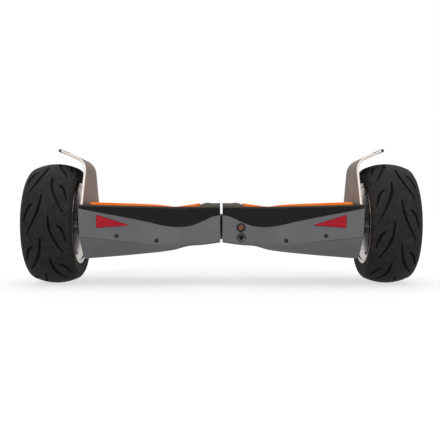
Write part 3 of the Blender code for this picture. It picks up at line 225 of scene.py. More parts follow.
def solder_mask():
    """Solder mask: green, with the copper tracks showing as a fine grid of paler lines."""
    material, tree, place = new_material("green_solder_mask", {"IOR": 1.55, "Roughness": 0.3})
    tracks = add_node(tree, "ShaderNodeTexBrick", {"Vector": place, "Scale": MM_PER_M / 9.0,
                                                   "Color1": linear("17603a"), "Color2": linear("1a6a40"),
                                                   "Mortar": linear("2f8a58"), "Mortar Size": 0.03})
    tree.links.new(tracks.outputs["Color"], tree.nodes["Principled BSDF"].inputs["Base Color"])
    return material


finish_nodes(shrink_film(), "battery_pack")
finish_nodes(solder_mask(), "main_board", *on_both("sensor_board"))


# Lower shells
# The grey belly of each half is an injection-moulded ABS tray, about 3 mm thick, with a spark-eroded
# satin grain. It screws up to the casting, and it is open for the lamps, the pivot and the axle.
def only(piece):
    """Select one piece and nothing else."""
    bpy.ops.object.select_all(action="DESELECT")
    piece.select_set(True)
    bpy.context.view_layer.objects.active = piece


MERGE_DISTANCE = 0.00001


def tidied(piece):
    """Merge a piece's doubled points and turn its faces outwards."""
    only(piece)
    bpy.ops.object.mode_set(mode="EDIT")
    bpy.ops.mesh.select_all(action="SELECT")
    bpy.ops.mesh.remove_doubles(threshold=MERGE_DISTANCE)
    bpy.ops.mesh.dissolve_degenerate(threshold=MERGE_DISTANCE / 10)
    bpy.ops.mesh.normals_make_consistent(inside=False)
    bpy.ops.object.mode_set(mode="OBJECT")
    return piece


def applied(piece, kind, **settings):
    """Add a modifier with its settings and apply it."""
    only(piece)
    modifier = piece.modifiers.new(kind.lower(), kind)
    for name, value in settings.items():
        setattr(modifier, name, value)
    bpy.ops.object.modifier_apply(modifier=modifier.name)
    return piece


def bevelled(piece, width, degrees=30, segments=3, **settings):
    """Round a piece's edges that turn by more than an angle."""
    return applied(piece, "BEVEL", width=width, segments=segments, limit_method="ANGLE",
                   angle_limit=math.radians(degrees), **settings)


def added(primitive, **settings):
    """Add a primitive, with nothing else selected."""
    bpy.ops.object.select_all(action="DESELECT")
    primitive(**settings)
    return bpy.context.object


def moved(piece, x=0.0, y=0.0, z=0.0, turn=Matrix.Identity(4)):
    """Turn a piece's mesh about the origin, then move it."""
    piece.data.transform(Matrix.Translation((x, y, z)) @ turn)
    return piece


def wrapped_sheet(columns, rows, place):
    """A flat grid laid over a form, with a point for each column and row number."""
    sheet = added(bpy.ops.mesh.primitive_grid_add, x_subdivisions=columns - 1, y_subdivisions=rows - 1,
                  size=1.0)
    for vertex in sheet.data.vertices:
        column = round((vertex.co.x + 0.5) * (columns - 1))
        row = round((vertex.co.y + 0.5) * (rows - 1))
        vertex.co = place(column, row)
    return tidied(sheet)


def outline_plate(outline, thickness):
    """A plate of a flat outline in X and Y, from Z = 0 up."""
    plate = added(bpy.ops.mesh.primitive_circle_add, vertices=len(outline), fill_type="NGON")
    for vertex, (x, y) in zip(plate.data.vertices, outline):
        vertex.co = (x, y, 0.0)
    bpy.ops.object.mode_set(mode="EDIT")
    bpy.ops.mesh.select_all(action="SELECT")
    bpy.ops.mesh.extrude_region_move(TRANSFORM_OT_translate={"value": (0.0, 0.0, thickness)})
    bpy.ops.object.mode_set(mode="OBJECT")
    return tidied(plate)


def block(low, high):
    """A block between two corners."""
    middle = [(a + b) / 2 for a, b in zip(low, high)]
    size = [b - a for a, b in zip(low, high)]
    piece = added(bpy.ops.mesh.primitive_cube_add, size=1.0, location=middle, scale=size)
    bpy.ops.object.transform_apply()
    return piece


# Turns that lay Z along another axis
LAY_ALONG = {
    "X": Matrix(((0, 0, 1, 0), (1, 0, 0, 0), (0, 1, 0, 0), (0, 0, 0, 1))),
    "Y": Matrix(((1, 0, 0, 0), (0, 0, -1, 0), (0, 1, 0, 0), (0, 0, 0, 1))),
}


def rod(radius, axis, centre, length, sides=32):
    """A round bar about its centre point, along an axis."""
    bar = added(bpy.ops.mesh.primitive_cylinder_add, vertices=sides, radius=radius, depth=length)
    return moved(bar, *centre, LAY_ALONG[axis])


def cut_with(piece, cutters):
    """Cut a piece with closed shapes, which are used up."""
    for cutter in cutters:
        applied(piece, "BOOLEAN", operation="DIFFERENCE", solver="MANIFOLD", object=cutter)
        bpy.data.objects.remove(cutter)
    return piece


def smooth(piece, degrees=30):
    """Shade a piece smooth, with its sharp edges kept."""
    only(piece)
    bpy.ops.object.shade_smooth_by_angle(angle=math.radians(degrees))
    return piece


def mirrored(piece):
    """A piece's mirror image, for the left half."""
    only(piece)
    bpy.ops.object.duplicate()
    twin = bpy.context.object
    moved(twin, turn=Matrix.Scale(-1.0, 4, (1.0, 0.0, 0.0)))
    twin.data.flip_normals()
    return twin


AXLE_HEIGHT = frame["joints"][0]["pos_m"][2]


def fitted(piece, name, body, slot, materials, *nodes):
    """Name and dress a finished piece, lift it to its height and fix it to its body for CAD nodes."""
    moved(piece, z=AXLE_HEIGHT)
    piece.name = name
    piece.data.name = name
    while len(piece.data.materials) < len(materials):
        piece.data.materials.append(None)
    for i, material in enumerate(materials):
        piece.data.materials[i] = material
    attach(piece, body)
    if nodes:
        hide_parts(*nodes)


def fitted_on_both(piece, name, body, slot, materials, *nodes):
    """Fix a piece to the right half, and its mirror image to the left half."""
    for side in SIDES:
        item = mirrored(piece) if side == "left" else piece
        fitted(item, f"{side}_{name}", f"{side}_{body}", slot, materials,
               *(f"{side}_{node}" for node in nodes))


def on_line(line, x):
    """Height or width of a smooth line at a distance from the middle."""
    last = len(line) - 1
    i = min(max(k for k in range(last) if k == 0 or line[k][0] <= x), last - 1)

    def slope(k):
        before = line[max(k - 1, 0)]
        after = line[min(k + 1, last)]
        return (after[1] - before[1]) / (after[0] - before[0])

    (x0, value0), (x1, value1) = line[i], line[i + 1]
    span = x1 - x0
    t = (x - x0) / span
    return ((2 * t ** 3 - 3 * t ** 2 + 1) * value0 + (t ** 3 - 2 * t ** 2 + t) * span * slope(i)
            + (3 * t ** 2 - 2 * t ** 3) * value1 + (t ** 3 - t ** 2) * span * slope(i + 1))


def smooth_step(x, start, end):
    """0 up to the start and 1 from the end on, with a smooth rise between them."""
    share = min(max((x - start) / (end - start), 0.0), 1.0)
    return share * share * (3 - 2 * share)


BODY_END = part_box("right_upper_shell")[1].x
LOWER_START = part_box("right_lower_shell")[0].x
HALF_DEPTH = 0.096
WAIST_HALF_DEPTH = 0.070
WAIST_END = 0.030
SHOULDER_START = 0.125
END_LEAN = 0.0055
SHELL_WALL = 0.0026
SHELL_EDGE = 0.0008
SEAM_GAP = 0.0013
# Lines along the body: distance from the middle, then height above the axle line, or width
SEAM_LINE = ((0.0, 0.0170), (0.0146, 0.0141), (0.0322, 0.0062), (0.0498, -0.0009), (0.0672, -0.0037),
             (0.0840, -0.0032), (0.1005, -0.0005), (0.1263, 0.0056), (0.1693, 0.0142),
             (0.2106, 0.0219), (0.2415, 0.0283))
UNDERSIDE_LINE = ((0.0, -0.0322), (0.032, -0.0367), (0.058, -0.0386), (0.085, -0.0454),
                  (0.155, -0.0533), (0.2415, -0.0605))
CREASE_LINE = ((0.0, -0.0265), (0.032, -0.0305), (0.058, -0.0320), (0.120, -0.0335),
               (0.146, -0.0315), (0.200, -0.0258), (0.2415, -0.0218))
TUCK_LINE = ((0.0, 0.006), (0.032, 0.006), (0.058, 0.008), (0.085, 0.016), (0.120, 0.0238),
             (0.155, 0.028), (0.2415, 0.034))
FLANK_LINE = ((0.0, 1.0), (0.058, 0.9), (0.120, 0.6), (0.155, 0.45), (0.2415, 0.45))


def half_depth(x):
    """Half of the body's depth, front to back."""
    return WAIST_HALF_DEPTH + (HALF_DEPTH - WAIST_HALF_DEPTH) * smooth_step(x, WAIST_END, SHOULDER_START)


SIDE_STEPS = 6
FLANK_STEPS = 12
FLOOR_STEPS = 5


def tray_side(x):
    """Half of the tray's section: down the side, round the flank and in to the middle of the floor."""
    half = half_depth(x)
    top = on_line(SEAM_LINE, x) - SEAM_GAP
    crease = on_line(CREASE_LINE, x)
    bottom = on_line(UNDERSIDE_LINE, x)
    foot = half - on_line(TUCK_LINE, x)
    knee = foot + (half - foot) * on_line(FLANK_LINE, x)
    side = [(half, top + (crease - top) * i / SIDE_STEPS) for i in range(SIDE_STEPS)]
    for i in range(FLANK_STEPS + 1):
        t = i / FLANK_STEPS
        across = (1 - t) ** 2 * half + 2 * t * (1 - t) * knee + t ** 2 * foot
        down = (1 - t) ** 2 * crease + 2 * t * (1 - t) * bottom + t ** 2 * bottom
        side.append((across, down))
    return side + [(foot * (1 - i / FLOOR_STEPS), bottom) for i in range(1, FLOOR_STEPS + 1)]


def whole_ring(side):
    """A section from one half of it: from the far side's edge over the middle to the near side's."""
    return side + [(-across, up) for across, up in reversed(side[:-1])]


# Places along a half, and how far its section is drawn out: the end walls are drawn in to the seam
BODY_STEPS = 64
WALL_WIDTHS = (0.0, 0.35, 0.7)
body_columns = [(0.0, width) for width in WALL_WIDTHS]
body_columns += [(i / BODY_STEPS, 1.0) for i in range(BODY_STEPS + 1)]
body_columns += [(1.0, width) for width in reversed(WALL_WIDTHS)]


def body_shell(start, half_section, lean):
    """A shell over the body's length, closed by a wall at each end, with its thickness inwards."""
    rings = []
    for share, width in body_columns:
        x = start + (BODY_END - start) * share
        half = half_section(x)
        seam = half[0][1]
        ring = []
        for across, up in whole_ring(half):
            up = seam + (up - seam) * width
            leaned = lean * max(-up, 0.0) / -UNDERSIDE_LINE[-1][1] * share
            ring.append((x - leaned, across * width, up))
        rings.append(ring)
    shell = wrapped_sheet(len(rings), len(rings[0]), lambda column, row: rings[column][row])
    applied(shell, "SOLIDIFY", thickness=SHELL_WALL, offset=-1.0, use_even_offset=True)
    return bevelled(shell, SHELL_EDGE, degrees=50)


def rounded(corners, grow=0.0, steps=6):
    """A polygon with round corners, each with its own radius, moved outwards by an amount."""
    points = []
    for before, corner, after in zip(corners[-1:] + corners[:-1], corners, corners[1:] + corners[:1]):
        radius = corner[2]
        arms = []
        for other in (before, after):
            run = math.dist(corner[:2], other[:2])
            arms.append([(b - a) / run for a, b in zip(corner[:2], other)])
        opening = math.acos(sum(a * b for a, b in zip(*arms))) / 2
        middle = [a + b for a, b in zip(*arms)]
        reach = radius / math.sin(opening) / math.hypot(*middle)
        hub = [c + m * reach for c, m in zip(corner, middle)]
        touch = radius / math.tan(opening)
        angles = [math.atan2(corner[1] + arm[1] * touch - hub[1], corner[0] + arm[0] * touch - hub[0])
                  for arm in arms]
        sweep = (angles[1] - angles[0] + math.pi) % math.tau - math.pi
        for step in range(steps + 1):
            angle = angles[0] + sweep * step / steps
            points.append((hub[0] + (radius + grow) * math.cos(angle),
                           hub[1] + (radius + grow) * math.sin(angle)))
    return points


# A lamp's corners: distance from the middle, height above the axle line, and radius
LAMP_CORNERS = ((0.2108, 0.0159, 0.0018), (0.2108, -0.0062, 0.0018), (0.1545, -0.0022, 0.0007))
LAMP_GAP = 0.0005
RECESS_DEPTH = 0.0018
RECESS_REACH = 0.02
REAR_SCREWS = ((0.1765, -0.0199), (0.1094, -0.0280))
SCREW_RADIUS = 0.0034
SCREW_SINK = 0.0006
SEAT_DEPTH = 0.002
SLEEVE_HOLE = 0.0223
AXLE_HOLE = 0.0105
fender_low, fender_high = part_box("right_fender")
FENDER_STANDOFF = 0.0034
FENDER_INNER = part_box("right_chassis")[1].x + FENDER_STANDOFF
FENDER_BASE = fender_low.z - AXLE_HEIGHT
POCKET_HALF_WIDTH = 0.0836
POCKET_BASE = FENDER_BASE - 0.0004
POCKET_TOP = 0.08
# The space round a piece that fits in another, and how long a cutter through a thin wall is
FIT = 0.0003
CUTTER_LENGTH = 0.02


def end_pocket():
    """The recess for the fender in a half's end."""
    return block((FENDER_INNER - FIT, -POCKET_HALF_WIDTH, POCKET_BASE),
                 (BODY_END + CUTTER_LENGTH / 2, POCKET_HALF_WIDTH, POCKET_TOP))


def middle_hole(radius):
    """The cutter of a round hole about the axle line at the board's middle."""
    return rod(radius, "X", (0.0, 0.0, 0.0), CUTTER_LENGTH, sides=64)


def axle_hole():
    """The cutter of the axle's hole in a half's end."""
    return rod(AXLE_HOLE, "X", (BODY_END, 0.0, 0.0), 2 * CUTTER_LENGTH)


def wall_hole(radius, x, z, length=CUTTER_LENGTH):
    """The cutter of a round hole in the wall behind."""
    return rod(radius, "Y", (x, -half_depth(x), z), length)


def flank_recess(points, depth, side):
    """A recess of this outline in the flank, behind (-1) or in front (1)."""
    recess = outline_plate(points, RECESS_REACH)
    floor = HALF_DEPTH - depth
    shift = -floor if side < 0 else floor + RECESS_REACH
    return moved(recess, y=shift, turn=LAY_ALONG["Y"])


# A fine line is moulded along the crease of each flank and runs out towards the waist
LINE_START = 0.142
LINE_HALF_WIDTH = 0.0007
LINE_TAPER = 0.2
LINE_DEPTH = 0.0012
LINE_STEPS = 12


def crease_outline():
    """The moulded line's outline, along its upper edge and back along its lower one."""
    upper = []
    lower = []
    for i in range(LINE_STEPS + 1):
        share = i / LINE_STEPS
        x = LINE_START + (BODY_END + 0.001 - LINE_START) * share
        width = LINE_HALF_WIDTH * (LINE_TAPER + (1 - LINE_TAPER) * min(1.0, 2 * share))
        upper.append((x, on_line(CREASE_LINE, x) + width))
        lower.append((x, on_line(CREASE_LINE, x) - width))
    return upper + lower[::-1]


def spark_grained_abs():
    """Spark-eroded ABS: mid grey, satin, with a fine even grain that scatters the light."""
    material, tree, place = new_material("spark_grained_grey_abs", {"IOR": 1.54, "Specular IOR Level": 0.3})
    # The real grain is about 0.2 mm and too fine to show, so it is drawn at 0.9 mm
    grain = add_node(tree, "ShaderNodeTexNoise", {"Vector": place, "Scale": MM_PER_M / 0.9, "Detail": 3.0,
                                                  "Roughness": 0.6})
    cloud = add_node(tree, "ShaderNodeTexNoise", {"Vector": place, "Scale": MM_PER_M / 60.0, "Detail": 2.0})
    return patterned(material, (cloud.outputs["Fac"], "5b5b5e", "616164"),
                     (grain.outputs["Fac"], 0.42, 0.56), (grain.outputs["Fac"], 0.035))


def box_middle(node):
    """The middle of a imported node's box, with its height above the axle line."""
    low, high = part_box(node)
    return (low.x + high.x) / 2, (low.y + high.y) / 2, (low.z + high.z) / 2 - AXLE_HEIGHT


tray = body_shell(LOWER_START, tray_side, END_LEAN)
tray_cutters = [end_pocket(), middle_hole(SLEEVE_HOLE), axle_hole()]
for side in (-1, 1):
    tray_cutters.append(flank_recess(rounded(LAMP_CORNERS, LAMP_GAP), RECESS_DEPTH, side))
    tray_cutters.append(flank_recess(crease_outline(), LINE_DEPTH, side))
for x, z in REAR_SCREWS:
    tray_cutters.append(wall_hole(SCREW_RADIUS + FIT, x, z, 2 * SEAT_DEPTH))
cut_with(tray, tray_cutters)
grained = spark_grained_abs()
fitted(smooth(mirrored(tray)), "left_grey_tray", "left_half", "grey_shell", [grained], "left_lower_shell")
BUTTON_X, _, BUTTON_Z = box_middle("power_button_bezel")
PORT_X, _, PORT_Z = box_middle("charge_port")
BARREL_RADIUS = 0.0060
cut_with(tray, [wall_hole(BARREL_RADIUS + FIT, x, z) for x, z in ((BUTTON_X, BUTTON_Z), (PORT_X, PORT_Z))])
fitted(smooth(tray), "right_grey_tray", "right_half", "grey_shell", [grained], "right_lower_shell")


# Seam shade cords
# A black rubber cord lies on the tray's top edge, tucked under the deck. It is painted shade: a dark strip
# that fills the seam, so that the gap shows as a thin dark shadow line under the deck's edge, behind and in
# front.
def extruded_rubber():
    """Extruded rubber: black and satin, with a slightly uneven skin."""
    return mottled("extruded_black_rubber", {"IOR": 1.52}, 1.5, 3.0, ("161616", "212121"), (0.4, 0.6), 0.03)


def drawn_bar(points, radii, **settings):
    """A bar drawn along some points, each with its share of the thickness, and made a mesh."""
    curve = bpy.data.curves.new("bar", "CURVE")
    for name, value in settings.items():
        setattr(curve, name, value)
    curve.use_fill_caps = True
    route = curve.splines.new("POLY")
    route.points.add(len(points) - 1)
    for point, place, radius in zip(route.points, points, radii):
        point.co = (*place, 1.0)
        point.radius = radius
    bar = bpy.data.objects.new("bar", curve)
    bpy.context.scene.collection.objects.link(bar)
    only(bar)
    bpy.ops.object.convert(target="MESH")
    return bpy.context.object


SHADE_CORD_RADIUS = 0.0012
SHADE_CORD_SINK = 0.0026
SHADE_CORD_MARGIN = 0.006
SHADE_CORD_STEPS = 60
rubber = extruded_rubber()
shade_cords = []
for side in (-1, 1):
    route = []
    for i in range(SHADE_CORD_STEPS + 1):
        x = LOWER_START + SHADE_CORD_RADIUS + (BODY_END - LOWER_START - SHADE_CORD_MARGIN) * i / SHADE_CORD_STEPS
        route.append((x, side * (half_depth(x) - SHADE_CORD_SINK), on_line(SEAM_LINE, x) - SEAM_GAP / 2))
    shade_cords.append(drawn_bar(route, [1.0] * len(route), dimensions="3D", bevel_depth=SHADE_CORD_RADIUS,
                             bevel_resolution=2))
# Each cord is a dark strip that paints the shadow in the seam under the deck's edge.
for name, shade_cord in zip(("rear_seam_shade_cord", "front_seam_shade_cord"), shade_cords):
    fitted_on_both(smooth(tidied(shade_cord), degrees=60), name, "half", "trim_rubber", [rubber])


# Pivot boot
# A moulded rubber ring fills the gap between the two trays round the pivot tube and keeps dirt out of it.
# It is held by the right half and only rubs on the left one.
BOOT_HALF_THICKNESS = 0.0016
BOOT_EDGE = 0.0006
BOOT_CORNER = 0.010
BOOT_CORNERS = [(y, z, BOOT_CORNER)
                for y, z in ((-0.034, 0.0160), (0.034, 0.0160), (0.034, -0.0285), (-0.034, -0.0285))]
TUBE_RADIUS = (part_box("pivot_tube")[1].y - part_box("pivot_tube")[0].y) / 2
boot = outline_plate(rounded(BOOT_CORNERS), 2 * BOOT_HALF_THICKNESS)
moved(boot, x=-BOOT_HALF_THICKNESS, turn=LAY_ALONG["X"])
bevelled(boot, BOOT_EDGE, degrees=60)
cut_with(boot, [middle_hole(TUBE_RADIUS + FIT)])
fitted(smooth(boot), "pivot_boot", "right_half", "trim_rubber", [rubber])


# Upper shells
# The deck of each half is moulded in black ABS, etched on top and polished on the sides, which drop as
# fins over the grey tray. It is open for the footpad, with a window and a groove in the raised crown.
UPPER_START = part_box("right_upper_shell")[0].x
FIN_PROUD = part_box("right_upper_shell")[1].y - HALF_DEPTH
DECK = 0.0317
CROWN = 0.0065
CROWN_END = 0.0345
DECK_LINE = ((0.0, 0.0304), (0.040, 0.0301), (0.085, 0.0296), (0.115, 0.0302), (0.155, 0.0310),
             (0.200, 0.0322), (0.2415, 0.0334))
EDGE_RADIUS = 0.004
EDGE_STEPS = 6
FIN_LEAST = 0.0004
FIN_STEPS = 5
PAD_START = 0.038
CROWN_STEPS = 12
GROOVE_START = 0.0112
GROOVE_WIDTH = 0.005
GROOVE_DEPTH = 0.0017
GROOVE_REACH = 0.12


def arc(centre, radius, start, end, steps):
    """Points on an arc, from one direction to another in degrees."""
    turns = [math.radians(start + (end - start) * i / steps) for i in range(steps + 1)]
    return [(centre[0] + radius * math.cos(a), centre[1] + radius * math.sin(a)) for a in turns]


def deck_side(x):
    """Half of the deck's section: up the fin, round the edge and over the top to the middle."""
    half = half_depth(x) + FIN_PROUD
    top = on_line(DECK_LINE, x)
    high = top - EDGE_RADIUS
    low = min(on_line(SEAM_LINE, x), high - FIN_LEAST)
    crown = CROWN * (1 - smooth_step(x, CROWN_END, PAD_START))
    reach = half - EDGE_RADIUS
    side = [(half, low + (high - low) * i / FIN_STEPS) for i in range(FIN_STEPS)]
    side += arc((reach, high), EDGE_RADIUS, 0, 90, EDGE_STEPS)
    for i in range(1, CROWN_STEPS + 1):
        share = 1 - i / CROWN_STEPS
        side.append((reach * share, top + crown * (1 - share ** 2)))
    return side


def gloss_abs():
    """Gloss moulded ABS: near black, mirror smooth but for a slight flow ripple and very fine wear."""
    material, tree, place = new_material("gloss_black_abs", {"IOR": 1.54, "Specular IOR Level": 0.12})
    ripple = add_node(tree, "ShaderNodeTexNoise", {"Vector": place, "Scale": MM_PER_M / 25.0,
                                                   "Detail": 2.0})
    wear = add_node(tree, "ShaderNodeTexNoise", {"Vector": place, "Scale": MM_PER_M / 3.0, "Detail": 6.0,
                                                 "Roughness": 0.7})
    return patterned(material, (ripple.outputs["Fac"], "11100e", "16140f"),
                     (wear.outputs["Fac"], 0.1, 0.26), (ripple.outputs["Fac"], 0.06))


def etched_abs():
    """Etched ABS: black with a brown tinge, matt and finely pebbled, so that shoes don't mark it."""
    material, tree, place = new_material("etched_black_abs", {"IOR": 1.54, "Specular IOR Level": 0.15})
    pebble = add_node(tree, "ShaderNodeTexVoronoi", {"Vector": place, "Scale": MM_PER_M / 0.8})
    scuff = add_node(tree, "ShaderNodeTexNoise", {"Vector": place, "Scale": MM_PER_M / 12.0, "Detail": 4.0})
    return patterned(material, (scuff.outputs["Fac"], "2b2622", "37312b"),
                     (scuff.outputs["Fac"], 0.6, 0.75), (pebble.outputs["Distance"], 0.05))


PAD_MARGIN = 0.018
PAD_CORNER = 0.009
pad_low, pad_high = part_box("right_footpad")
PAD_SETBACK = 0.004
PAD_END = pad_high.x - (PAD_START - pad_low.x) - PAD_SETBACK
PAD_GAP = 0.0005
CORNER_STEPS = 8
STRAIGHT_STEPS = 24
OPENING_HEIGHT = 0.03


def pad_half_width(x, grow=0.0):
    """Half of the footpad's width, front to back, with its round corners."""
    corner = PAD_CORNER + grow
    width = half_depth(min(max(x, PAD_START + PAD_CORNER), PAD_END - PAD_CORNER)) - PAD_MARGIN + grow
    into = min(x - (PAD_START - grow), PAD_END + grow - x, corner)
    return width - corner + math.sqrt(max(corner ** 2 - (corner - into) ** 2, 0.0))


def pad_places(grow=0.0):
    """Distances from the middle along the footpad, close together round its corners."""
    start = PAD_START - grow
    end = PAD_END + grow
    corner = PAD_CORNER + grow
    turn = [corner * (1 - math.cos(math.pi / 2 * i / CORNER_STEPS)) for i in range(CORNER_STEPS + 1)]
    straight = [start + corner + (end - start - 2 * corner) * i / STRAIGHT_STEPS
                for i in range(1, STRAIGHT_STEPS)]
    return [start + step for step in turn] + straight + [end - step for step in reversed(turn)]


def pad_opening():
    """The deck's opening for the footpad."""
    places = pad_places(PAD_GAP)
    side = [(x, pad_half_width(x, PAD_GAP)) for x in places]
    opening = outline_plate(side + [(x, -y) for x, y in reversed(side)], OPENING_HEIGHT)
    return moved(opening, z=DECK - OPENING_HEIGHT / 2)


def two_finishes(piece, is_second):
    """Give a piece two material slots, the second one for the faces that a test picks."""
    for slot in range(2):
        piece.data.materials.append(None)
    for face in piece.data.polygons:
        face.material_index = int(is_second(face))


WINDOW_START = 0.0203
WINDOW_LENGTH = 0.0094
WINDOW_HALF_WIDTH = 0.0117
WINDOW_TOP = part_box("right_indicator_lens")[1].z - AXLE_HEIGHT
CUTTER_TOP = 0.06
TOP_TILT = 0.3
window_hole = block((WINDOW_START - FIT, -WINDOW_HALF_WIDTH - FIT, DECK - CUTTER_LENGTH / 2),
                    (WINDOW_START + WINDOW_LENGTH + FIT, WINDOW_HALF_WIDTH + FIT, DECK + CUTTER_LENGTH))
crown_groove = block((GROOVE_START, -GROOVE_REACH, DECK + CROWN - GROOVE_DEPTH),
                     (GROOVE_START + GROOVE_WIDTH, GROOVE_REACH, CUTTER_TOP))
deck = body_shell(UPPER_START, deck_side, 0.0)
two_finishes(deck, lambda face: face.normal.z > TOP_TILT and face.center.z > DECK - 2 * EDGE_RADIUS)
cut_with(deck, [end_pocket(), middle_hole(SLEEVE_HOLE), pad_opening(), window_hole, crown_groove])
fitted_on_both(smooth(deck), "black_deck", "half", "black_shell", [gloss_abs(), etched_abs()],
               "upper_shell")


# Footpads
# Each pad is a silicone rubber mat moulded over a plate, with a raised border, cross ribs that grip the
# shoe and a plain land in the middle. Its mould was blasted, which leaves the rubber matt and pebbled.
def pad_silicone():
    """Moulded silicone rubber: bright orange and matt, slightly paler where it is rubbed."""
    material, tree, place = new_material("moulded_orange_silicone",
                                         {"IOR": 1.43, "Specular IOR Level": 0.25})
    pebble = add_node(tree, "ShaderNodeTexVoronoi", {"Vector": place, "Scale": MM_PER_M / 1.1})
    rub = add_node(tree, "ShaderNodeTexNoise", {"Vector": place, "Scale": MM_PER_M / 22.0, "Detail": 3.0})
    return patterned(material, (rub.outputs["Fac"], "ff7b1c", "ff882f"), (rub.outputs["Fac"], 0.6, 0.75),
                     (pebble.outputs["Distance"], 0.05))


PAD_LINE = ((0.038, 0.0359), (0.050, 0.0340), (0.064, 0.0319), (0.077, 0.0300), (0.087, 0.0296),
            (0.093, 0.0314), (0.115, 0.0336), (0.225, 0.0377), (0.2415, 0.0381))
PAD_END_ROUND = 0.0035
PAD_EDGE = 0.0012
RIB_MARGIN = 0.018
RIB_PITCH = 0.012
RIB_GROOVE = 0.004
RIB_DEPTH = 0.0012
GROOVE_WALL = 0.0004
BORDER = 0.009
LAND_START = 0.132
LAND_END = 0.170
rib_grooves = []
groove_x = PAD_START + RIB_MARGIN
while groove_x < PAD_END - RIB_MARGIN:
    if not LAND_START - RIB_GROOVE < groove_x < LAND_END:
        rib_grooves.append(groove_x)
    groove_x += RIB_PITCH
pad_columns = set(round(x, 6) for x in pad_places())
RIB_COLUMNS = (0.0, GROOVE_WALL, RIB_GROOVE / 2, RIB_GROOVE - GROOVE_WALL, RIB_GROOVE)
for x in rib_grooves:
    pad_columns |= {round(x + shift, 6) for shift in RIB_COLUMNS}
pad_columns = sorted(pad_columns)
# Rows across the pad: how far in from its edge, then evenly over the rest
EDGE_ROWS = (0.0, 0.0002, 0.0006, 0.0012, 0.003, BORDER, BORDER + GROOVE_WALL)
INNER_ROWS = 10
PAD_ROWS = 2 * len(EDGE_ROWS) + INNER_ROWS - 1
MAT_SKIRT = 0.0045


def pad_point(column, row):
    """A point of the mat's top."""
    x = pad_columns[column]
    half = pad_half_width(x)
    side = -1 if row < PAD_ROWS / 2 else 1
    step = row if side < 0 else PAD_ROWS - 1 - row
    if step < len(EDGE_ROWS):
        across = side * (half - min(EDGE_ROWS[step], half))
    else:
        reach = half - EDGE_ROWS[-1]
        across = -reach + 2 * reach * (row - len(EDGE_ROWS) + 1) / INNER_ROWS
    to_end = min(x - PAD_START, PAD_END - x)
    edge = min(abs(half - abs(across)), to_end)
    drop = 0.0
    for radius, inwards in ((PAD_EDGE, edge), (PAD_END_ROUND, PAD_END - x)):
        drop = max(drop, radius - math.sqrt(max(radius ** 2 - max(radius - inwards, 0.0) ** 2, 0.0)))
    grooved = any(start + GROOVE_WALL / 2 < x < start + RIB_GROOVE - GROOVE_WALL / 2
                  for start in rib_grooves)
    deep = RIB_DEPTH if grooved and half - abs(across) > BORDER + GROOVE_WALL / 2 else 0.0
    return (x, across, on_line(PAD_LINE, x) - drop - deep)


mat = wrapped_sheet(len(pad_columns), PAD_ROWS, pad_point)
only(mat)
bpy.ops.object.mode_set(mode="EDIT")
bpy.ops.mesh.select_all(action="DESELECT")
bpy.ops.mesh.select_mode(type="EDGE")
bpy.ops.mesh.select_non_manifold()
bpy.ops.mesh.extrude_region_move(TRANSFORM_OT_translate={"value": (0.0, 0.0, -MAT_SKIRT)})
bpy.ops.mesh.edge_face_add()
bpy.ops.mesh.select_mode(type="VERT")
bpy.ops.object.mode_set(mode="OBJECT")
fitted_on_both(smooth(tidied(mat), degrees=35), "ribbed_mat", "footpad", "orange_mat", [pad_silicone()],
               "footpad")


# Fenders
# Each fender is a 4 mm aluminium plate, cut to shape, bent outwards over the wheel and anodised a warm
# grey. Its cut edges are much paler, partly as bare metal and partly as painted highlight where they catch
# the light. A rubber bead is pushed over the lip's end.
FENDER_THICKNESS = 0.004
FENDER_HALF_WIDTH = fender_high.y
FENDER_INSET = 0.0006
FENDER_EDGE = 0.0012
FENDER_BEND = 0.0928
FENDER_BEND_HALF_WIDTH = 0.0515
BEND_RADIUS = 0.024
BEND_STEPS = 20
LIP_ANGLE = math.radians(24)
LIP_LENGTH = 0.0359
LIP_ROOT_HALF_WIDTH = 0.040
LIP_HALF_WIDTH = 0.034
FENDER_STEPS = 24
LIP_STEPS = 8
FENDER_COLUMNS = 25


def anodised_plate():
    """Anodised sheet: warm grey and satin, with the rolling direction faintly showing."""
    material, tree, place = new_material("warm_grey_anodised_sheet", {"Metallic": 1.0})
    # Rolling lines are about 0.1 mm apart, and are drawn at 1 mm across and 40 mm along
    turn = add_node(tree, "ShaderNodeMapping", {"Vector": place, "Scale": (1.0, 1.0, 0.025)})
    rolled = add_node(tree, "ShaderNodeTexNoise", {"Vector": turn.outputs["Vector"],
                                                   "Scale": MM_PER_M / 1.0, "Detail": 4.0})
    cloud = add_node(tree, "ShaderNodeTexNoise", {"Vector": place, "Scale": MM_PER_M / 45.0, "Detail": 3.0})
    return patterned(material, (cloud.outputs["Fac"], "71665f", "7c7169"),
                     (rolled.outputs["Fac"], 0.56, 0.7), (rolled.outputs["Fac"], 0.012))


def sheared_edge_and_painted_highlight():
    """The plate's cut edge: pale aluminium with fine drag lines, partly bare metal and partly painted
    highlight.
    """
    return mottled("sheared_aluminium_and_painted_highlight", {"Metallic": 1.0}, 0.8, 2.0, ("c4bab3", "d0c6c0"),
                   (0.45, 0.6))


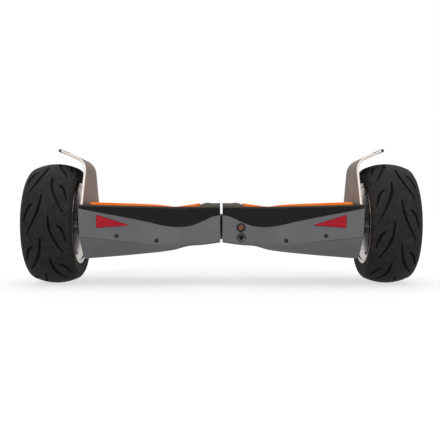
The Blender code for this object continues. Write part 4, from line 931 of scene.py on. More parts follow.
def fender_stations():
    """The plate's middle line, bottom to lip end: outwards, up, and half of its width there."""
    middle = BODY_END - FENDER_INSET - FENDER_THICKNESS / 2
    lip_turn = math.pi / 2 - LIP_ANGLE
    stations = [(middle, FENDER_BASE, FENDER_HALF_WIDTH), (middle, 0.0, FENDER_HALF_WIDTH)]
    for i in range(FENDER_STEPS + 1):
        share = i / FENDER_STEPS
        width = FENDER_HALF_WIDTH - (FENDER_HALF_WIDTH - FENDER_BEND_HALF_WIDTH) * share
        stations.append((middle, DECK + (FENDER_BEND - DECK) * share, width))
    for i in range(1, BEND_STEPS + 1):
        share = i / BEND_STEPS
        turn = lip_turn * share
        width = FENDER_BEND_HALF_WIDTH + (LIP_ROOT_HALF_WIDTH - FENDER_BEND_HALF_WIDTH) * share
        out = middle + BEND_RADIUS * (1 - math.cos(turn))
        stations.append((out, FENDER_BEND + BEND_RADIUS * math.sin(turn), width))
    root = stations[-1]
    for i in range(1, LIP_STEPS + 1):
        share = i / LIP_STEPS
        reach = LIP_LENGTH * share
        stations.append((root[0] + reach * math.cos(LIP_ANGLE), root[1] + reach * math.sin(LIP_ANGLE),
                         root[2] + (LIP_HALF_WIDTH - root[2]) * share))
    return stations


stations = fender_stations()


def fender_point(column, row):
    """A point of the plate's middle sheet."""
    out, up, half_width = stations[row]
    return (out, half_width * (2 * column / (FENDER_COLUMNS - 1) - 1), up)


plate = wrapped_sheet(FENDER_COLUMNS, len(stations), fender_point)
two_finishes(plate, lambda face: False)
# The rim and bevel faces take the pale edge finish, which is partly bare metal and partly painted highlight
# on the lit edges.
applied(plate, "SOLIDIFY", thickness=FENDER_THICKNESS, offset=0.0, use_even_offset=True,
        material_offset_rim=1)
bevelled(plate, FENDER_EDGE, degrees=60, material=1)
cut_with(plate, [axle_hole()])
fitted_on_both(smooth(plate), "bent_plate", "half", "fender_aluminium", [anodised_plate(), sheared_edge_and_painted_highlight()],
               "fender")


# Rear reflectors
# A triangular acrylic reflector is glued into a recess behind, under each fin. It is moulded red, with a
# clear face over a back of small prisms, which show as fine cells that flash at different angles.
LAMP_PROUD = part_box("right_rear_reflector")[0].y
LAMP_THICKNESS = 0.0022
LAMP_EDGE = 0.0005
LAMP_RIM = 0.0011
LAMP_SINK = 0.0003


def prism_acrylic():
    """Prism-backed acrylic: deep red, with a glassy face over bright and dark cells."""
    material, tree, place = new_material("prism_backed_red_acrylic",
                                         {"IOR": 1.49, "Roughness": 0.2, "Specular IOR Level": 0.15})
    # The real prisms are about 1.5 mm across, and are drawn at 2 mm
    cells = add_node(tree, "ShaderNodeTexVoronoi", {"Vector": place, "Scale": MM_PER_M / 2.0,
                                                    "Randomness": 0.15}, distance="MANHATTAN")
    shade = add_node(tree, "ShaderNodeSeparateColor", {"Color": cells.outputs["Color"]})
    return patterned(material, (shade.outputs["Red"], "98101f", "aa1627", 0.1, 0.9),
                     relief=(cells.outputs["Distance"], 0.1))


FACING = 0.99


def inset_face(piece, towards, thickness, depth):
    """Inset a piece's faces that look along a direction, and sink what lies inside the inset."""
    only(piece)
    bpy.ops.object.mode_set(mode="EDIT")
    bpy.ops.mesh.select_all(action="DESELECT")
    bpy.ops.object.mode_set(mode="OBJECT")
    bpy.context.tool_settings.mesh_select_mode = (False, False, True)
    for face in piece.data.polygons:
        face.select = face.normal.dot(towards) > FACING
    bpy.ops.object.mode_set(mode="EDIT")
    bpy.ops.mesh.inset(thickness=thickness, depth=depth)
    bpy.ops.object.mode_set(mode="OBJECT")


def lamp_plate(depth, towards):
    """A lamp's triangle in X and Z at a depth, with round edges and its outer face a little sunk."""
    lamp = moved(outline_plate(rounded(LAMP_CORNERS), LAMP_THICKNESS), turn=LAY_ALONG["Y"])
    moved(bevelled(lamp, LAMP_EDGE, degrees=60), y=depth)
    inset_face(lamp, towards, LAMP_RIM, -LAMP_SINK)
    return smooth(lamp)


reflector = lamp_plate(LAMP_PROUD + LAMP_THICKNESS, (0.0, -1.0, 0.0))
fitted_on_both(reflector, "prism_reflector", "half", "red_lens", [prism_acrylic()], "rear_reflector")


# Headlamps
# The same triangle in front is a lamp: a clear acrylic lens with upright flutes, over a silvered bowl.
# The flutes are moulded on the lens's inside and show as soft stripes.
def fluted_acrylic():
    """Fluted clear acrylic over silvering: pale and bright, with soft upright stripes."""
    material, tree, place = new_material("fluted_clear_acrylic",
                                         {"IOR": 1.49, "Metallic": 0.6, "Roughness": 0.14,
                                          "Coat Weight": 1.0, "Coat Roughness": 0.03})
    flutes = add_node(tree, "ShaderNodeTexWave", {"Vector": place, "Scale": WAVE_MM / 3.0})
    return patterned(material, (flutes.outputs["Fac"], "b4b9c0", "e2e5ea", 0.1, 0.9),
                     relief=(flutes.outputs["Fac"], 0.35))


headlamp = lamp_plate(-LAMP_PROUD, (0.0, 1.0, 0.0))
fitted_on_both(headlamp, "fluted_headlamp", "half", "clear_lens", [fluted_acrylic()], "front_lamp")


# Indicator windows
# A smoked acrylic window in each crown lets the battery and power lights through, and hides them when
# they are off. It is moulded with a round edge and pressed in from above.
def smoked_acrylic():
    """Smoked acrylic: grey brown and glassy, a little cloudy inside."""
    return mottled("smoked_acrylic", {"IOR": 1.49, "Roughness": 0.08}, 8.0, 2.0, ("26221f", "332e2a"))


WINDOW_THICKNESS = 0.003
WINDOW_EDGE = 0.0012
WINDOW_RIM = 0.0008
WINDOW_SINK = 0.0002
window = block((WINDOW_START, -WINDOW_HALF_WIDTH, WINDOW_TOP - WINDOW_THICKNESS),
               (WINDOW_START + WINDOW_LENGTH, WINDOW_HALF_WIDTH, WINDOW_TOP))
bevelled(window, WINDOW_EDGE, segments=4)
inset_face(window, (0.0, 0.0, 1.0), WINDOW_RIM, -WINDOW_SINK)
fitted_on_both(smooth(window), "crown_window", "half", "clear_lens", [smoked_acrylic()], "indicator_lens")


# Power button and charging socket
# Both sit in the right tray's waist behind. Each has a black ring with a chromed inner edge and a threaded
# barrel. The button is a brown moulded cap with a dished face, and the socket a black core with brass pins.
def spun(outline, steps):
    """A shape turned about X, from an outline of (along, radius) points, closed or ending on the axis."""
    solid = outline[0][1] == 0.0 and outline[-1][1] == 0.0
    piece = added(bpy.ops.mesh.primitive_circle_add, vertices=len(outline))
    for vertex, (along, radius) in zip(piece.data.vertices, outline):
        vertex.co = (along, 0.0, radius)
    if solid:
        ends = {0, len(outline) - 1}
        bpy.context.tool_settings.mesh_select_mode = (False, True, False)
        bpy.ops.object.mode_set(mode="EDIT")
        bpy.ops.mesh.select_all(action="DESELECT")
        bpy.ops.object.mode_set(mode="OBJECT")
        for edge in piece.data.edges:
            edge.select = set(edge.vertices) == ends
        bpy.ops.object.mode_set(mode="EDIT")
        bpy.ops.mesh.delete(type="EDGE_FACE")
        bpy.ops.object.mode_set(mode="OBJECT")
    bpy.ops.object.mode_set(mode="EDIT")
    bpy.ops.mesh.select_all(action="SELECT")
    bpy.ops.mesh.spin(steps=steps, angle=math.tau, center=(0.0, 0.0, 0.0), axis=(1.0, 0.0, 0.0))
    bpy.ops.object.mode_set(mode="OBJECT")
    return tidied(piece)


def chromed_plastic():
    """Chromed plastic: bright, slightly soft, darker where it turns away."""
    return mottled("chromed_plastic", {"Metallic": 1.0}, 2.0, 4.0, ("76726d", "8f8a84"), (0.08, 0.2))


def brown_cap_plastic():
    """Moulded cap: copper brown with a satin, faintly pearled face."""
    return mottled("copper_brown_abs", {"IOR": 1.54, "Metallic": 0.25}, 0.5, 3.0, ("5a2f1c", "703d26"),
                   (0.28, 0.4))


def pin_brass():
    """Turned brass pins: yellow and bright."""
    return mottled("turned_brass", {"Metallic": 1.0, "Roughness": 0.25}, 1.0, 2.0, ("8f7238", "a98a4c"))


# A turn that lets the low end of a piece turned about X look out behind
LOOKING_BACK = Matrix.Rotation(math.pi / 2, 4, "Z")
RING_RADIUS = 0.0075
RING_EDGE = 0.0056
RING_THICKNESS = 0.0014
RING_CHAMFER = 0.0003
RING_STEPS = 48
BARREL_LENGTH = 0.0090
BEZEL_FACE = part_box("power_button_bezel")[0].y
BUTTON_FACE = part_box("power_button")[0].y
PORT_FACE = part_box("charge_port")[0].y


def wall_ring(bore, depth):
    """A ring with a round lip and a barrel behind it, turned about X, its face at X = 0."""
    lip = RING_THICKNESS * 0.5
    outline = [(depth, 0.0), (depth, bore), (lip, bore), (lip * 0.4, bore + RING_CHAMFER), (0.0, RING_EDGE)]
    outline += arc((lip, RING_RADIUS - lip), lip, 180, 90, 4)
    outline += [(RING_THICKNESS, RING_RADIUS), (RING_THICKNESS, BARREL_RADIUS),
                (BARREL_LENGTH, BARREL_RADIUS), (BARREL_LENGTH, 0.0)]
    ring = spun(outline, RING_STEPS)
    two_finishes(ring, lambda face: math.hypot(face.center.y, face.center.z) > RING_EDGE)
    return smooth(ring)


BUTTON_RADIUS = 0.0047
BUTTON_DEPTH = BARREL_LENGTH - 0.001
SOCKET_BORE = 0.0048
SOCKET_DEPTH = 0.0088
chrome = chromed_plastic()
ring = wall_ring(BUTTON_RADIUS + FIT, BUTTON_DEPTH)
moved(ring, BUTTON_X, BEZEL_FACE, BUTTON_Z, LOOKING_BACK)
fitted(ring, "button_ring", "right_half", "chromed_plastic", [chrome, nylon], "power_button_bezel")

CAP_LENGTH = 0.0060
cap_outline = [(0.0006, 0.0), (0.0005, 0.0020), (0.0002, 0.0032), (0.0, 0.0038), (0.0001, 0.0043),
               (0.0005, BUTTON_RADIUS), (CAP_LENGTH, BUTTON_RADIUS), (CAP_LENGTH, 0.0)]
cap = moved(spun(cap_outline, RING_STEPS), BUTTON_X, BUTTON_FACE, BUTTON_Z, LOOKING_BACK)
fitted(smooth(cap, degrees=40), "button_cap", "power_button", "button_plastic", [brown_cap_plastic()],
       "power_button")

socket = moved(wall_ring(SOCKET_BORE, SOCKET_DEPTH), PORT_X, PORT_FACE, PORT_Z, LOOKING_BACK)
fitted(socket, "socket_ring", "right_half", "chromed_plastic", [chrome, nylon], "charge_port")
CORE_END = SOCKET_DEPTH - 0.0002
CORE_RADIUS = SOCKET_BORE - 0.0001
core_outline = [(0.0062, 0.0), (0.0062, 0.0014), (0.0058, 0.0016), (0.0030, 0.0016), (0.0027, 0.0019),
                (0.0027, CORE_RADIUS - 0.0002), (0.0032, CORE_RADIUS), (CORE_END, CORE_RADIUS),
                (CORE_END, 0.0)]
core = moved(spun(core_outline, steps=40), PORT_X, PORT_FACE, PORT_Z, LOOKING_BACK)
fitted(smooth(core), "socket_core", "right_half", "black_plastic", [nylon])
brass = pin_brass()
PIN_CIRCLE = 0.0032
pin_places = arc((PORT_X, PORT_Z), PIN_CIRCLE, 90, 330, 2)
for number, (x, z) in enumerate(pin_places, start=1):
    pin = spun([(0.0018, 0.0), (0.0019, 0.0004), (0.0022, 0.0006), (0.0045, 0.0006), (0.0045, 0.0)],
               steps=16)
    moved(pin, x, PORT_FACE, z, LOOKING_BACK)
    fitted(smooth(pin), f"socket_pin_{number}", "right_half", "bush_bronze", [brass])


# Fender beads
# A black rubber bead with a round back and closed ends is pushed over each lip's end and guards its edge.
# It is moulded in one piece, with a slot that grips the plate.
BEAD_HALF_WIDTH = LIP_HALF_WIDTH + 0.0010
SLOT_HALF_WIDTH = LIP_HALF_WIDTH + 0.0004
SLOT_HALF_HEIGHT = FENDER_THICKNESS / 2 + 0.0002
BEAD_HALF_HEIGHT = SLOT_HALF_HEIGHT + 0.0006
BEAD_GRIP = 0.0014
BEAD_EDGE = 0.0003
lip_end = stations[-1]
bead_outline = [(-BEAD_GRIP, BEAD_HALF_HEIGHT), *arc((0.0, 0.0), BEAD_HALF_HEIGHT, 90, -90, 12),
                (-BEAD_GRIP, -BEAD_HALF_HEIGHT)]
bead = outline_plate(bead_outline, 2 * BEAD_HALF_WIDTH)
moved(bead, y=BEAD_HALF_WIDTH, turn=LAY_ALONG["Y"])
bevelled(bead, BEAD_EDGE, degrees=70, segments=2)
cut_with(bead, [block((-BEAD_GRIP - 0.001, -SLOT_HALF_WIDTH, -SLOT_HALF_HEIGHT),
                      (0.0002, SLOT_HALF_WIDTH, SLOT_HALF_HEIGHT))])
moved(bead, lip_end[0], 0.0, lip_end[1], Matrix.Rotation(-LIP_ANGLE, 4, "Y"))
fitted_on_both(smooth(bead, degrees=50), "rubber_bead", "half", "trim_rubber", [rubber], "fender_trim")


# Screws
# Socket-head screws hold the tray behind and below and the fender at the half's end. They are turned,
# rolled and blackened, with a round edge and a hexagon socket.
def black_oxide():
    """Blackened steel: dark and satin, with brighter rubbed edges."""
    return mottled("black_oxide_steel", {"Metallic": 1.0}, 1.5, 3.0, ("2b2b2c", "3d3d3e"), (0.3, 0.5))


blackened = black_oxide()


def socket_screw(radius, height, length, shaft):
    """A socket-head screw along X, its head's face at X = 0 and its shaft towards +X."""
    edge = 0.0004
    outline = [(0.0, 0.0), (0.0, radius - edge), (edge * 0.3, radius - edge * 0.3), (edge, radius),
               (height, radius), (height, shaft), (height + length, shaft), (height + length, 0.0)]
    head = spun(outline, steps=24)
    return cut_with(head, [rod(radius * 0.5, "X", (0.0, 0.0, 0.0), height * 1.2, sides=6)])


SHAFT_RADIUS = 0.0017
LOOKING_DOWN = Matrix.Rotation(-math.pi / 2, 4, "Y")
LOOKING_OUT = Matrix.Rotation(math.pi, 4, "Y")
# Head radius, head height and shaft length
REAR_SIZE = (SCREW_RADIUS, 0.0014, 0.004)
UNDER_SIZE = (0.0032, 0.0016)
FENDER_SIZE = (0.0045, 0.0016, 0.012)


def place_screws(kind, number, place, turn, size):
    """A screw of each half, at a place and turned to look outwards."""
    piece = moved(socket_screw(*size, SHAFT_RADIUS), *place, turn)
    fitted_on_both(smooth(piece), f"{kind}_cap_screw_{number}", "half", "black_steel", [blackened],
                   f"{kind}_screw_{number}")


for number, (x, z) in enumerate(REAR_SCREWS, start=1):
    place_screws("rear", number, (x, -half_depth(x) + SCREW_SINK, z), LOOKING_BACK, REAR_SIZE)
for number in (1, 2):
    low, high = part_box(f"right_under_screw_{number}")
    x, y, _ = box_middle(f"right_under_screw_{number}")
    shaft = high.z - low.z - 0.002
    place_screws("under", number, (x, y, low.z - AXLE_HEIGHT), LOOKING_DOWN, (*UNDER_SIZE, shaft))
    _, y, z = box_middle(f"right_fender_screw_{number}")
    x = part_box(f"right_fender_screw_{number}")[1].x
    place_screws("fender", number, (x, y, z), LOOKING_OUT, FENDER_SIZE)


# Hub motors
# Inside each wheel, enamelled copper is wound on a laminated steel stator that is keyed to the axle, and
# a ring of nickel-plated magnets turns round it. Both are hidden behind the cover.
def enamelled_copper():
    """Enamelled copper windings: orange brown, with the turns as fine ridges."""
    material, tree, place = new_material("enamelled_copper", {"Metallic": 1.0, "Roughness": 0.35})
    turns = add_node(tree, "ShaderNodeTexWave", {"Vector": place, "Scale": WAVE_MM / 0.9,
                                                 "Distortion": 1.5})
    return patterned(material, (turns.outputs["Fac"], "8a4a26", "b8693a", 0.1, 0.9),
                     relief=(turns.outputs["Fac"], 0.2))


def plated_nickel():
    """Nickel plate: pale, warm and bright, with a light haze."""
    return mottled("nickel_plate", {"Metallic": 1.0}, 3.0, 3.0, ("b3b0a8", "c4c1b8"), (0.2, 0.35))


finish_nodes(enamelled_copper(), *on_both("stator"))
finish_nodes(plated_nickel(), *on_both("magnet_ring"))


# Rims
# Each rim is a cast aluminium ring with a web on its outer side. It is turned bright all over, with the
# cover's seat on its inner side and six shallow round pockets in the web.
WHEEL_X = frame["joints"][2]["pos_m"][0]
rim_low, rim_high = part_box("right_rim")
FLANGE_RADIUS = (rim_high.y - rim_low.y) / 2 / math.cos(math.pi / 64)
FLANGE_END = (rim_high.x - rim_low.x) / 2
RIM_RADIUS = 0.070
RIM_BORE = 0.0645
FLANGE_START = FLANGE_END - 0.0028
COVER_SEAT = RIM_BORE + 0.0015
COVER_BACK = -FLANGE_END + 0.0068
WEB_START = 0.0285
WEB_END = WEB_START + 0.005
BOSS_RADIUS = 0.022
BEARING_BORE = 0.0163
WEB_POCKETS = 6
RIM_STEPS = 96


def turned_aluminium():
    """Turned aluminium: bright, with fine rings of the tool about the axle line."""
    material, tree, place = new_material("turned_rim_aluminium", {"Metallic": 1.0})
    flat = add_node(tree, "ShaderNodeMapping", {"Vector": place, "Scale": (1.0, 0.02, 0.02)})
    rings = add_node(tree, "ShaderNodeTexNoise", {"Vector": flat.outputs["Vector"], "Scale": MM_PER_M / 1.0,
                                                  "Detail": 3.0})
    cloud = add_node(tree, "ShaderNodeTexNoise", {"Vector": place, "Scale": MM_PER_M / 15.0, "Detail": 3.0})
    return patterned(material, (cloud.outputs["Fac"], "7b746e", "8f8882"),
                     (rings.outputs["Fac"], 0.1, 0.18))


FLANGE_ROUND = 0.0012
flange_out = arc((FLANGE_END - FLANGE_ROUND, FLANGE_RADIUS - FLANGE_ROUND), FLANGE_ROUND, 0, 90, 5)
flange_in = [(-along, radius) for along, radius in reversed(flange_out)]
BOSS_START = 0.0205
rim_outline = [
    *flange_out, (FLANGE_START, FLANGE_RADIUS), (FLANGE_START - 0.0006, RIM_RADIUS + 0.0006),
    (FLANGE_START - 0.0012, RIM_RADIUS), (-FLANGE_START + 0.0012, RIM_RADIUS),
    (-FLANGE_START + 0.0006, RIM_RADIUS + 0.0006), (-FLANGE_START, FLANGE_RADIUS), *flange_in,
    (-FLANGE_END, COVER_SEAT + 0.0010), (-FLANGE_END + 0.0010, COVER_SEAT), (COVER_BACK, COVER_SEAT),
    (COVER_BACK, RIM_BORE), (WEB_START, RIM_BORE), (WEB_START, BOSS_RADIUS), (BOSS_START, BOSS_RADIUS),
    (BOSS_START, BEARING_BORE), (WEB_END, BEARING_BORE), (WEB_END, 0.0275), (WEB_END, RIM_BORE - 0.007),
    (WEB_END + 0.0006, RIM_BORE - 0.0045), (WEB_END + 0.0022, RIM_BORE - 0.0025),
    (FLANGE_END - 0.0006, COVER_SEAT + 0.0010), (FLANGE_END, COVER_SEAT + 0.0016),
]
rim = spun(rim_outline, RIM_STEPS)
POCKET_CIRCLE = (BOSS_RADIUS + RIM_BORE) / 2
POCKET_RADIUS = 0.0105
POCKET_DEPTH = 0.0028
POCKET_EDGE = 0.0012
POCKET_CUTTER = 0.01


def around_wheel(radius, count, start=0.0):
    """Places in Y and Z, evenly round the axle line from the top."""
    turns = [math.tau * (number + start) / count for number in range(count)]
    return [(radius * math.sin(turn), radius * math.cos(turn)) for turn in turns]


pockets = []
for y, z in around_wheel(POCKET_CIRCLE, WEB_POCKETS):
    x = WEB_END + POCKET_CUTTER / 2 - POCKET_DEPTH
    pocket = rod(POCKET_RADIUS, "X", (x, y, z), POCKET_CUTTER, sides=40)
    pockets.append(bevelled(pocket, POCKET_EDGE))
cut_with(rim, pockets)
bright_aluminium = turned_aluminium()
fitted_on_both(moved(smooth(rim), WHEEL_X), "turned_rim", "wheel", "rim_aluminium", [bright_aluminium],
               "rim")


# Motor covers
# A turned aluminium disc closes the motor on the inner side, almost level with the rim's flange. It is
# bare and bright like the rim, and six small black screws hold it round its edge.
COVER_OUTER = -FLANGE_END + 0.0015
COVER_INNER = COVER_OUTER + 0.005
COVER_EDGE = COVER_SEAT - FIT
cover_outline = [
    (COVER_INNER, COVER_EDGE), (COVER_OUTER + 0.0005, COVER_EDGE), (COVER_OUTER, COVER_EDGE - 0.0005),
    (COVER_OUTER, 0.0235), (COVER_OUTER - 0.0012, 0.0225), (COVER_OUTER - 0.0012, BEARING_BORE + 0.0012),
    (COVER_OUTER - 0.0004, BEARING_BORE), (COVER_INNER - 0.002, BEARING_BORE), (COVER_INNER - 0.002, 0.020),
    (COVER_INNER, 0.020),
]
cover = moved(spun(cover_outline, RIM_STEPS), WHEEL_X)
fitted_on_both(smooth(cover), "turned_cover", "wheel", "rim_aluminium", [bright_aluminium], "motor_cover")
COVER_SCREWS = 6
COVER_SCREW_SIZE = (0.0026, 0.0015, 0.003)
COVER_SCREW_SHAFT = 0.0012
SCREW_CIRCLE = 0.0615
SCREW_FACE = WHEEL_X + COVER_OUTER - 0.0010
for number, (y, z) in enumerate(around_wheel(SCREW_CIRCLE, COVER_SCREWS, 0.5), start=1):
    piece = moved(socket_screw(*COVER_SCREW_SIZE, COVER_SCREW_SHAFT), SCREW_FACE, y, z)
    fitted_on_both(smooth(piece), f"cover_screw_{number}", "wheel", "black_steel", [blackened])


# Hub caps
# A moulded nylon cap with a shallow dome and a step round its rim is pressed over the outer bearing.
# It is black and satin, and keeps water and grit out of the wheel.
HUB_CAP_RADIUS = 0.024
HUB_CAP_HEIGHT = 0.0056
DOME_RADIUS = 0.019
DOME_DROP = 0.45
DOME_STEPS = 10
cap_base = WEB_END + FIT
# Shares of the cap's height, and radii
hub_cap_shape = [(1 - DOME_DROP * (i / DOME_STEPS) ** 2, DOME_RADIUS * i / DOME_STEPS)
                 for i in range(DOME_STEPS + 1)]
hub_cap_shape += [(0.40, 0.0195), (0.36, 0.0205), (0.36, 0.0230), (0.26, HUB_CAP_RADIUS - 0.0003),
                  (0.15, HUB_CAP_RADIUS), (0.0, HUB_CAP_RADIUS), (0.0, 0.0)]
hub_cap = spun([(cap_base + HUB_CAP_HEIGHT * share, radius) for share, radius in hub_cap_shape], steps=64)
fitted_on_both(moved(smooth(hub_cap), WHEEL_X), "domed_hub_cap", "wheel", "black_plastic", [nylon],
               "hub_cap")


# Tyres
# Wide tubeless rubber tyres, cured in a mould. Long curved grooves run from the middle of the tread out
# over each side and point up in the middle, with a short hooked groove between each two.
TYRE_RADIUS = AXLE_HEIGHT
TYRE_HALF_WIDTH = 0.0435
CROWN_RADIUS = 0.087
SHOULDER_RADIUS = 0.011
BEAD_SEAT = 0.0384
TREAD_PITCHES = 9
TREAD_DEPTH = 0.0042
GROOVE_HALF_WIDTH = 0.0024
TYRE_STEPS = 180
TREAD_STEPS = 10
SHOULDER_STEPS = 7
SHOULDER_END = 15
SIDE_RING_RADIUS = 0.0917
crown_centre = TYRE_RADIUS - CROWN_RADIUS
shoulder_x = TYRE_HALF_WIDTH - SHOULDER_RADIUS
crown_tilt = math.asin(shoulder_x / (CROWN_RADIUS - SHOULDER_RADIUS))
shoulder_height = crown_centre + (CROWN_RADIUS - SHOULDER_RADIUS) * math.cos(crown_tilt)


def tread_radius(x):
    """The tyre's radius at a distance from its middle plane."""
    x = abs(x)
    if x < CROWN_RADIUS * math.sin(crown_tilt):
        return crown_centre + math.sqrt(CROWN_RADIUS ** 2 - x ** 2)
    return shoulder_height + math.sqrt(max(SHOULDER_RADIUS ** 2 - (x - shoulder_x) ** 2, 0.0))


def tyre_rubber():
    """Cured tyre rubber: dark grey and matt, partly dusty and partly painted sheen, with faint flow marks."""
    material, tree, place = new_material("cured_tyre_rubber", {"IOR": 1.52, "Specular IOR Level": 0.1})
    # The warm lighter patches over the tread are partly dust and partly painted sheen, in place of the soft
    # reflection of the light from above.
    dust_and_sheen = add_node(tree, "ShaderNodeTexNoise", {"Vector": place, "Scale": MM_PER_M / 9.0, "Detail": 5.0})
    grain = add_node(tree, "ShaderNodeTexNoise", {"Vector": place, "Scale": MM_PER_M / 0.8, "Detail": 2.0})
    return patterned(material, (dust_and_sheen.outputs["Fac"], "1f1e1d", "2b2927"), (dust_and_sheen.outputs["Fac"], 0.62, 0.78),
                     (grain.outputs["Fac"], 0.06))


crown_degrees = math.degrees(crown_tilt)
right_side = [(0.0, TYRE_RADIUS)]
right_side += arc((0.0, crown_centre), CROWN_RADIUS, 90, 90 - crown_degrees, TREAD_STEPS)[1:]
right_side += arc((shoulder_x, shoulder_height), SHOULDER_RADIUS, 90 - crown_degrees, SHOULDER_END,
                  SHOULDER_STEPS)[1:]
bead_radius = FLANGE_RADIUS + FIT
# Down the sidewall: how far out from the half width, and radius. A thin raised ring runs round it.
SIDEWALL = (
    (-0.0005, SIDE_RING_RADIUS + 0.0009), (0.0003, SIDE_RING_RADIUS + 0.0003),
    (0.0003, SIDE_RING_RADIUS - 0.0003), (-0.0008, SIDE_RING_RADIUS - 0.0010), (-0.0012, 0.0885),
    (-0.0013, 0.0835), (-0.0020, 0.0785), (-0.0030, bead_radius + 0.0015), (-0.0036, bead_radius),
)
right_side += [(TYRE_HALF_WIDTH + out, radius) for out, radius in SIDEWALL]
right_side += [(BEAD_SEAT, bead_radius), (BEAD_SEAT, RIM_RADIUS + FIT)]
tyre_outline = list(reversed(right_side)) + [(-along, radius) for along, radius in right_side[1:]]
tyre = spun(tyre_outline, TYRE_STEPS)

# Grooves in the flattened tread: distance from the middle plane, and how many degrees further down
LONG_GROOVE = ((0.0065, 0.0), (0.0072, 5.0), (0.0090, 11.8), (0.0125, 18.0), (0.0180, 24.6), (0.0240, 31.0),
               (0.0300, 36.7))
HOOKED_GROOVE = ((0.0200, 8.6), (0.0245, 10.2), (0.0290, 13.5), (0.0325, 19.0), (0.0350, 25.6))
INNER_START = 42.1
OUTER_START = 21.9
GROOVE_STEPS = 18
GROOVE_END_WIDTH = 0.55
PITCH = 360 / TREAD_PITCHES


def groove_cutter(path, side, start):
    """A groove's cutter, drawn flat with round ends and then bent onto the tread."""
    points = []
    widths = []
    for i in range(GROOVE_STEPS + 1):
        share = i / GROOVE_STEPS
        along = (len(path) - 1) * share
        k = min(int(along), len(path) - 2)
        x, degrees = [a + (b - a) * (along - k) for a, b in zip(path[k], path[k + 1])]
        points.append((side * x, -math.radians(degrees) * TYRE_RADIUS, 0.0))
        widths.append(GROOVE_END_WIDTH + (1 - GROOVE_END_WIDTH) * math.sin(math.pi * share ** 0.8))
    groove = drawn_bar(points, widths, dimensions="2D", fill_mode="NONE", extrude=TREAD_DEPTH,
                       bevel_depth=GROOVE_HALF_WIDTH, bevel_resolution=1)
    for vertex in groove.data.vertices:
        x, along, up = vertex.co
        turn = math.radians(start) + along / TYRE_RADIUS
        radius = tread_radius(x) + up
        vertex.co = (x, -radius * math.cos(turn), radius * math.sin(turn))
    return tidied(groove)


# Small moulded marks show the wear: side, distance from the middle plane, and degrees further down
WEAR_MARKS = ((1, 0.0142, OUTER_START - 1.9), (-1, 0.0330, INNER_START), (-1, 0.0192, INNER_START - 1.1))
WEAR_MARK_RADIUS = 0.0013
WEAR_MARK_LENGTH = 0.004
grooves = []
for pitch in range(TREAD_PITCHES):
    for side, start in ((-1, INNER_START), (1, OUTER_START)):
        for path in (LONG_GROOVE, HOOKED_GROOVE):
            grooves.append(groove_cutter(path, side, start + PITCH * pitch))
for pitch in range(TREAD_PITCHES):
    for side, x, degrees in WEAR_MARKS:
        mark = rod(WEAR_MARK_RADIUS, "Y", (side * x, -tread_radius(x), 0.0), WEAR_MARK_LENGTH, sides=12)
        grooves.append(moved(mark, turn=Matrix.Rotation(-math.radians(degrees + PITCH * pitch), 4, "X")))
cut_with(tyre, grooves)
TYRE_LAG = math.radians(6)
left_tyre = moved(mirrored(tyre), -WHEEL_X, turn=Matrix.Rotation(-TYRE_LAG, 4, "X"))
moved(tyre, WHEEL_X)
cured_rubber = tyre_rubber()
for side, piece in (("right", tyre), ("left", left_tyre)):
    fitted(smooth(piece, degrees=35), f"{side}_treaded_tyre", f"{side}_wheel", "tyre_rubber",
           [cured_rubber],
           f"{side}_tyre")


# Room
# A plain pale floor and a white background, with soft light from above and from both sides.
# The floor is lifted to white away from the board, and keeps the board's soft shadow.
FLOOR_SIZE = 40.0
FLOOR_LIFT = 0.6
FLOOR_WHITE = 1.1
SHADOW_END = 0.34
WHITE_START = 0.6


def seen_itself(tree):
    """1 for rays that show a thing, straight, mirrored or through glass, and 0 for those that light."""
    path = add_node(tree, "ShaderNodeLightPath")
    seen = path.outputs["Is Camera Ray"]
    for ray in ("Is Glossy Ray", "Is Transmission Ray"):
        seen = add_node(tree, "ShaderNodeMath", {0: seen, 1: path.outputs[ray]},
                        operation="MAXIMUM").outputs[0]
    return seen


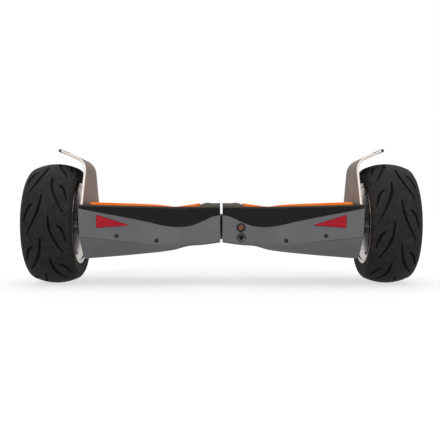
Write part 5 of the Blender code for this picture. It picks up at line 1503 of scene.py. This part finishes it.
def pale_floor():
    """Matt white floor. What is seen of it is lifted to white, all but its soft shadow near the board."""
    material, tree, place = new_material("matt_white_floor", {"Base Color": linear("e6e6e6"),
                                                              "Roughness": 0.9,
                                                              "Specular IOR Level": 0.0})
    away = add_node(tree, "ShaderNodeVectorMath", {0: place}, operation="LENGTH")
    lift = add_node(tree, "ShaderNodeMapRange", {"Value": away.outputs["Value"], "From Min": SHADOW_END,
                                                 "From Max": WHITE_START, "To Min": FLOOR_LIFT,
                                                 "To Max": 1.0})
    share = add_node(tree, "ShaderNodeMath", {0: seen_itself(tree), 1: lift.outputs["Result"]},
                     operation="MULTIPLY")
    white = add_node(tree, "ShaderNodeEmission", {"Color": (1.0, 1.0, 1.0, 1.0), "Strength": FLOOR_WHITE})
    lit = tree.nodes["Principled BSDF"]
    mix = add_node(tree, "ShaderNodeMixShader", {0: share.outputs[0], 1: lit.outputs[0],
                                                 2: white.outputs[0]})
    tree.links.new(mix.outputs[0], tree.nodes["Material Output"].inputs["Surface"])
    return material


floor = added(bpy.ops.mesh.primitive_plane_add, size=FLOOR_SIZE, location=(0.0, 0.0, 0.0))
floor.name = "floor"
floor.data.materials.append(pale_floor())

WORLD_LEVEL = 0.62
world = bpy.data.worlds.new("studio")
bpy.context.scene.world = world
world.use_nodes = True
room = world.node_tree
background = room.nodes["Background"]
background.inputs["Color"].default_value = (1.0, 1.0, 1.0, 1.0)
level = add_node(room, "ShaderNodeMapRange", {"Value": seen_itself(room), "To Min": WORLD_LEVEL,
                                              "To Max": 1.0})
room.links.new(level.outputs["Result"], background.inputs["Strength"])

# Name, place, size in metres and power in watts
LAMPS = (("top", (0.0, -0.2, 2.0), 2.4, 18.0), ("key", (-0.9, -1.5, 1.3), 0.9, 8.0),
         ("fill", (1.4, -1.2, 0.9), 1.2, 6.0))
for name, place, size, power in LAMPS:
    data = bpy.data.lights.new(name, "AREA")
    data.size = size
    data.energy = power
    lamp = bpy.data.objects.new(name, data)
    lamp.location = place
    lamp.rotation_euler = (-lamp.location).to_track_quat("-Z", "Y").to_euler()
    bpy.context.scene.collection.objects.link(lamp)

bpy.context.scene.view_settings.view_transform = "Standard"
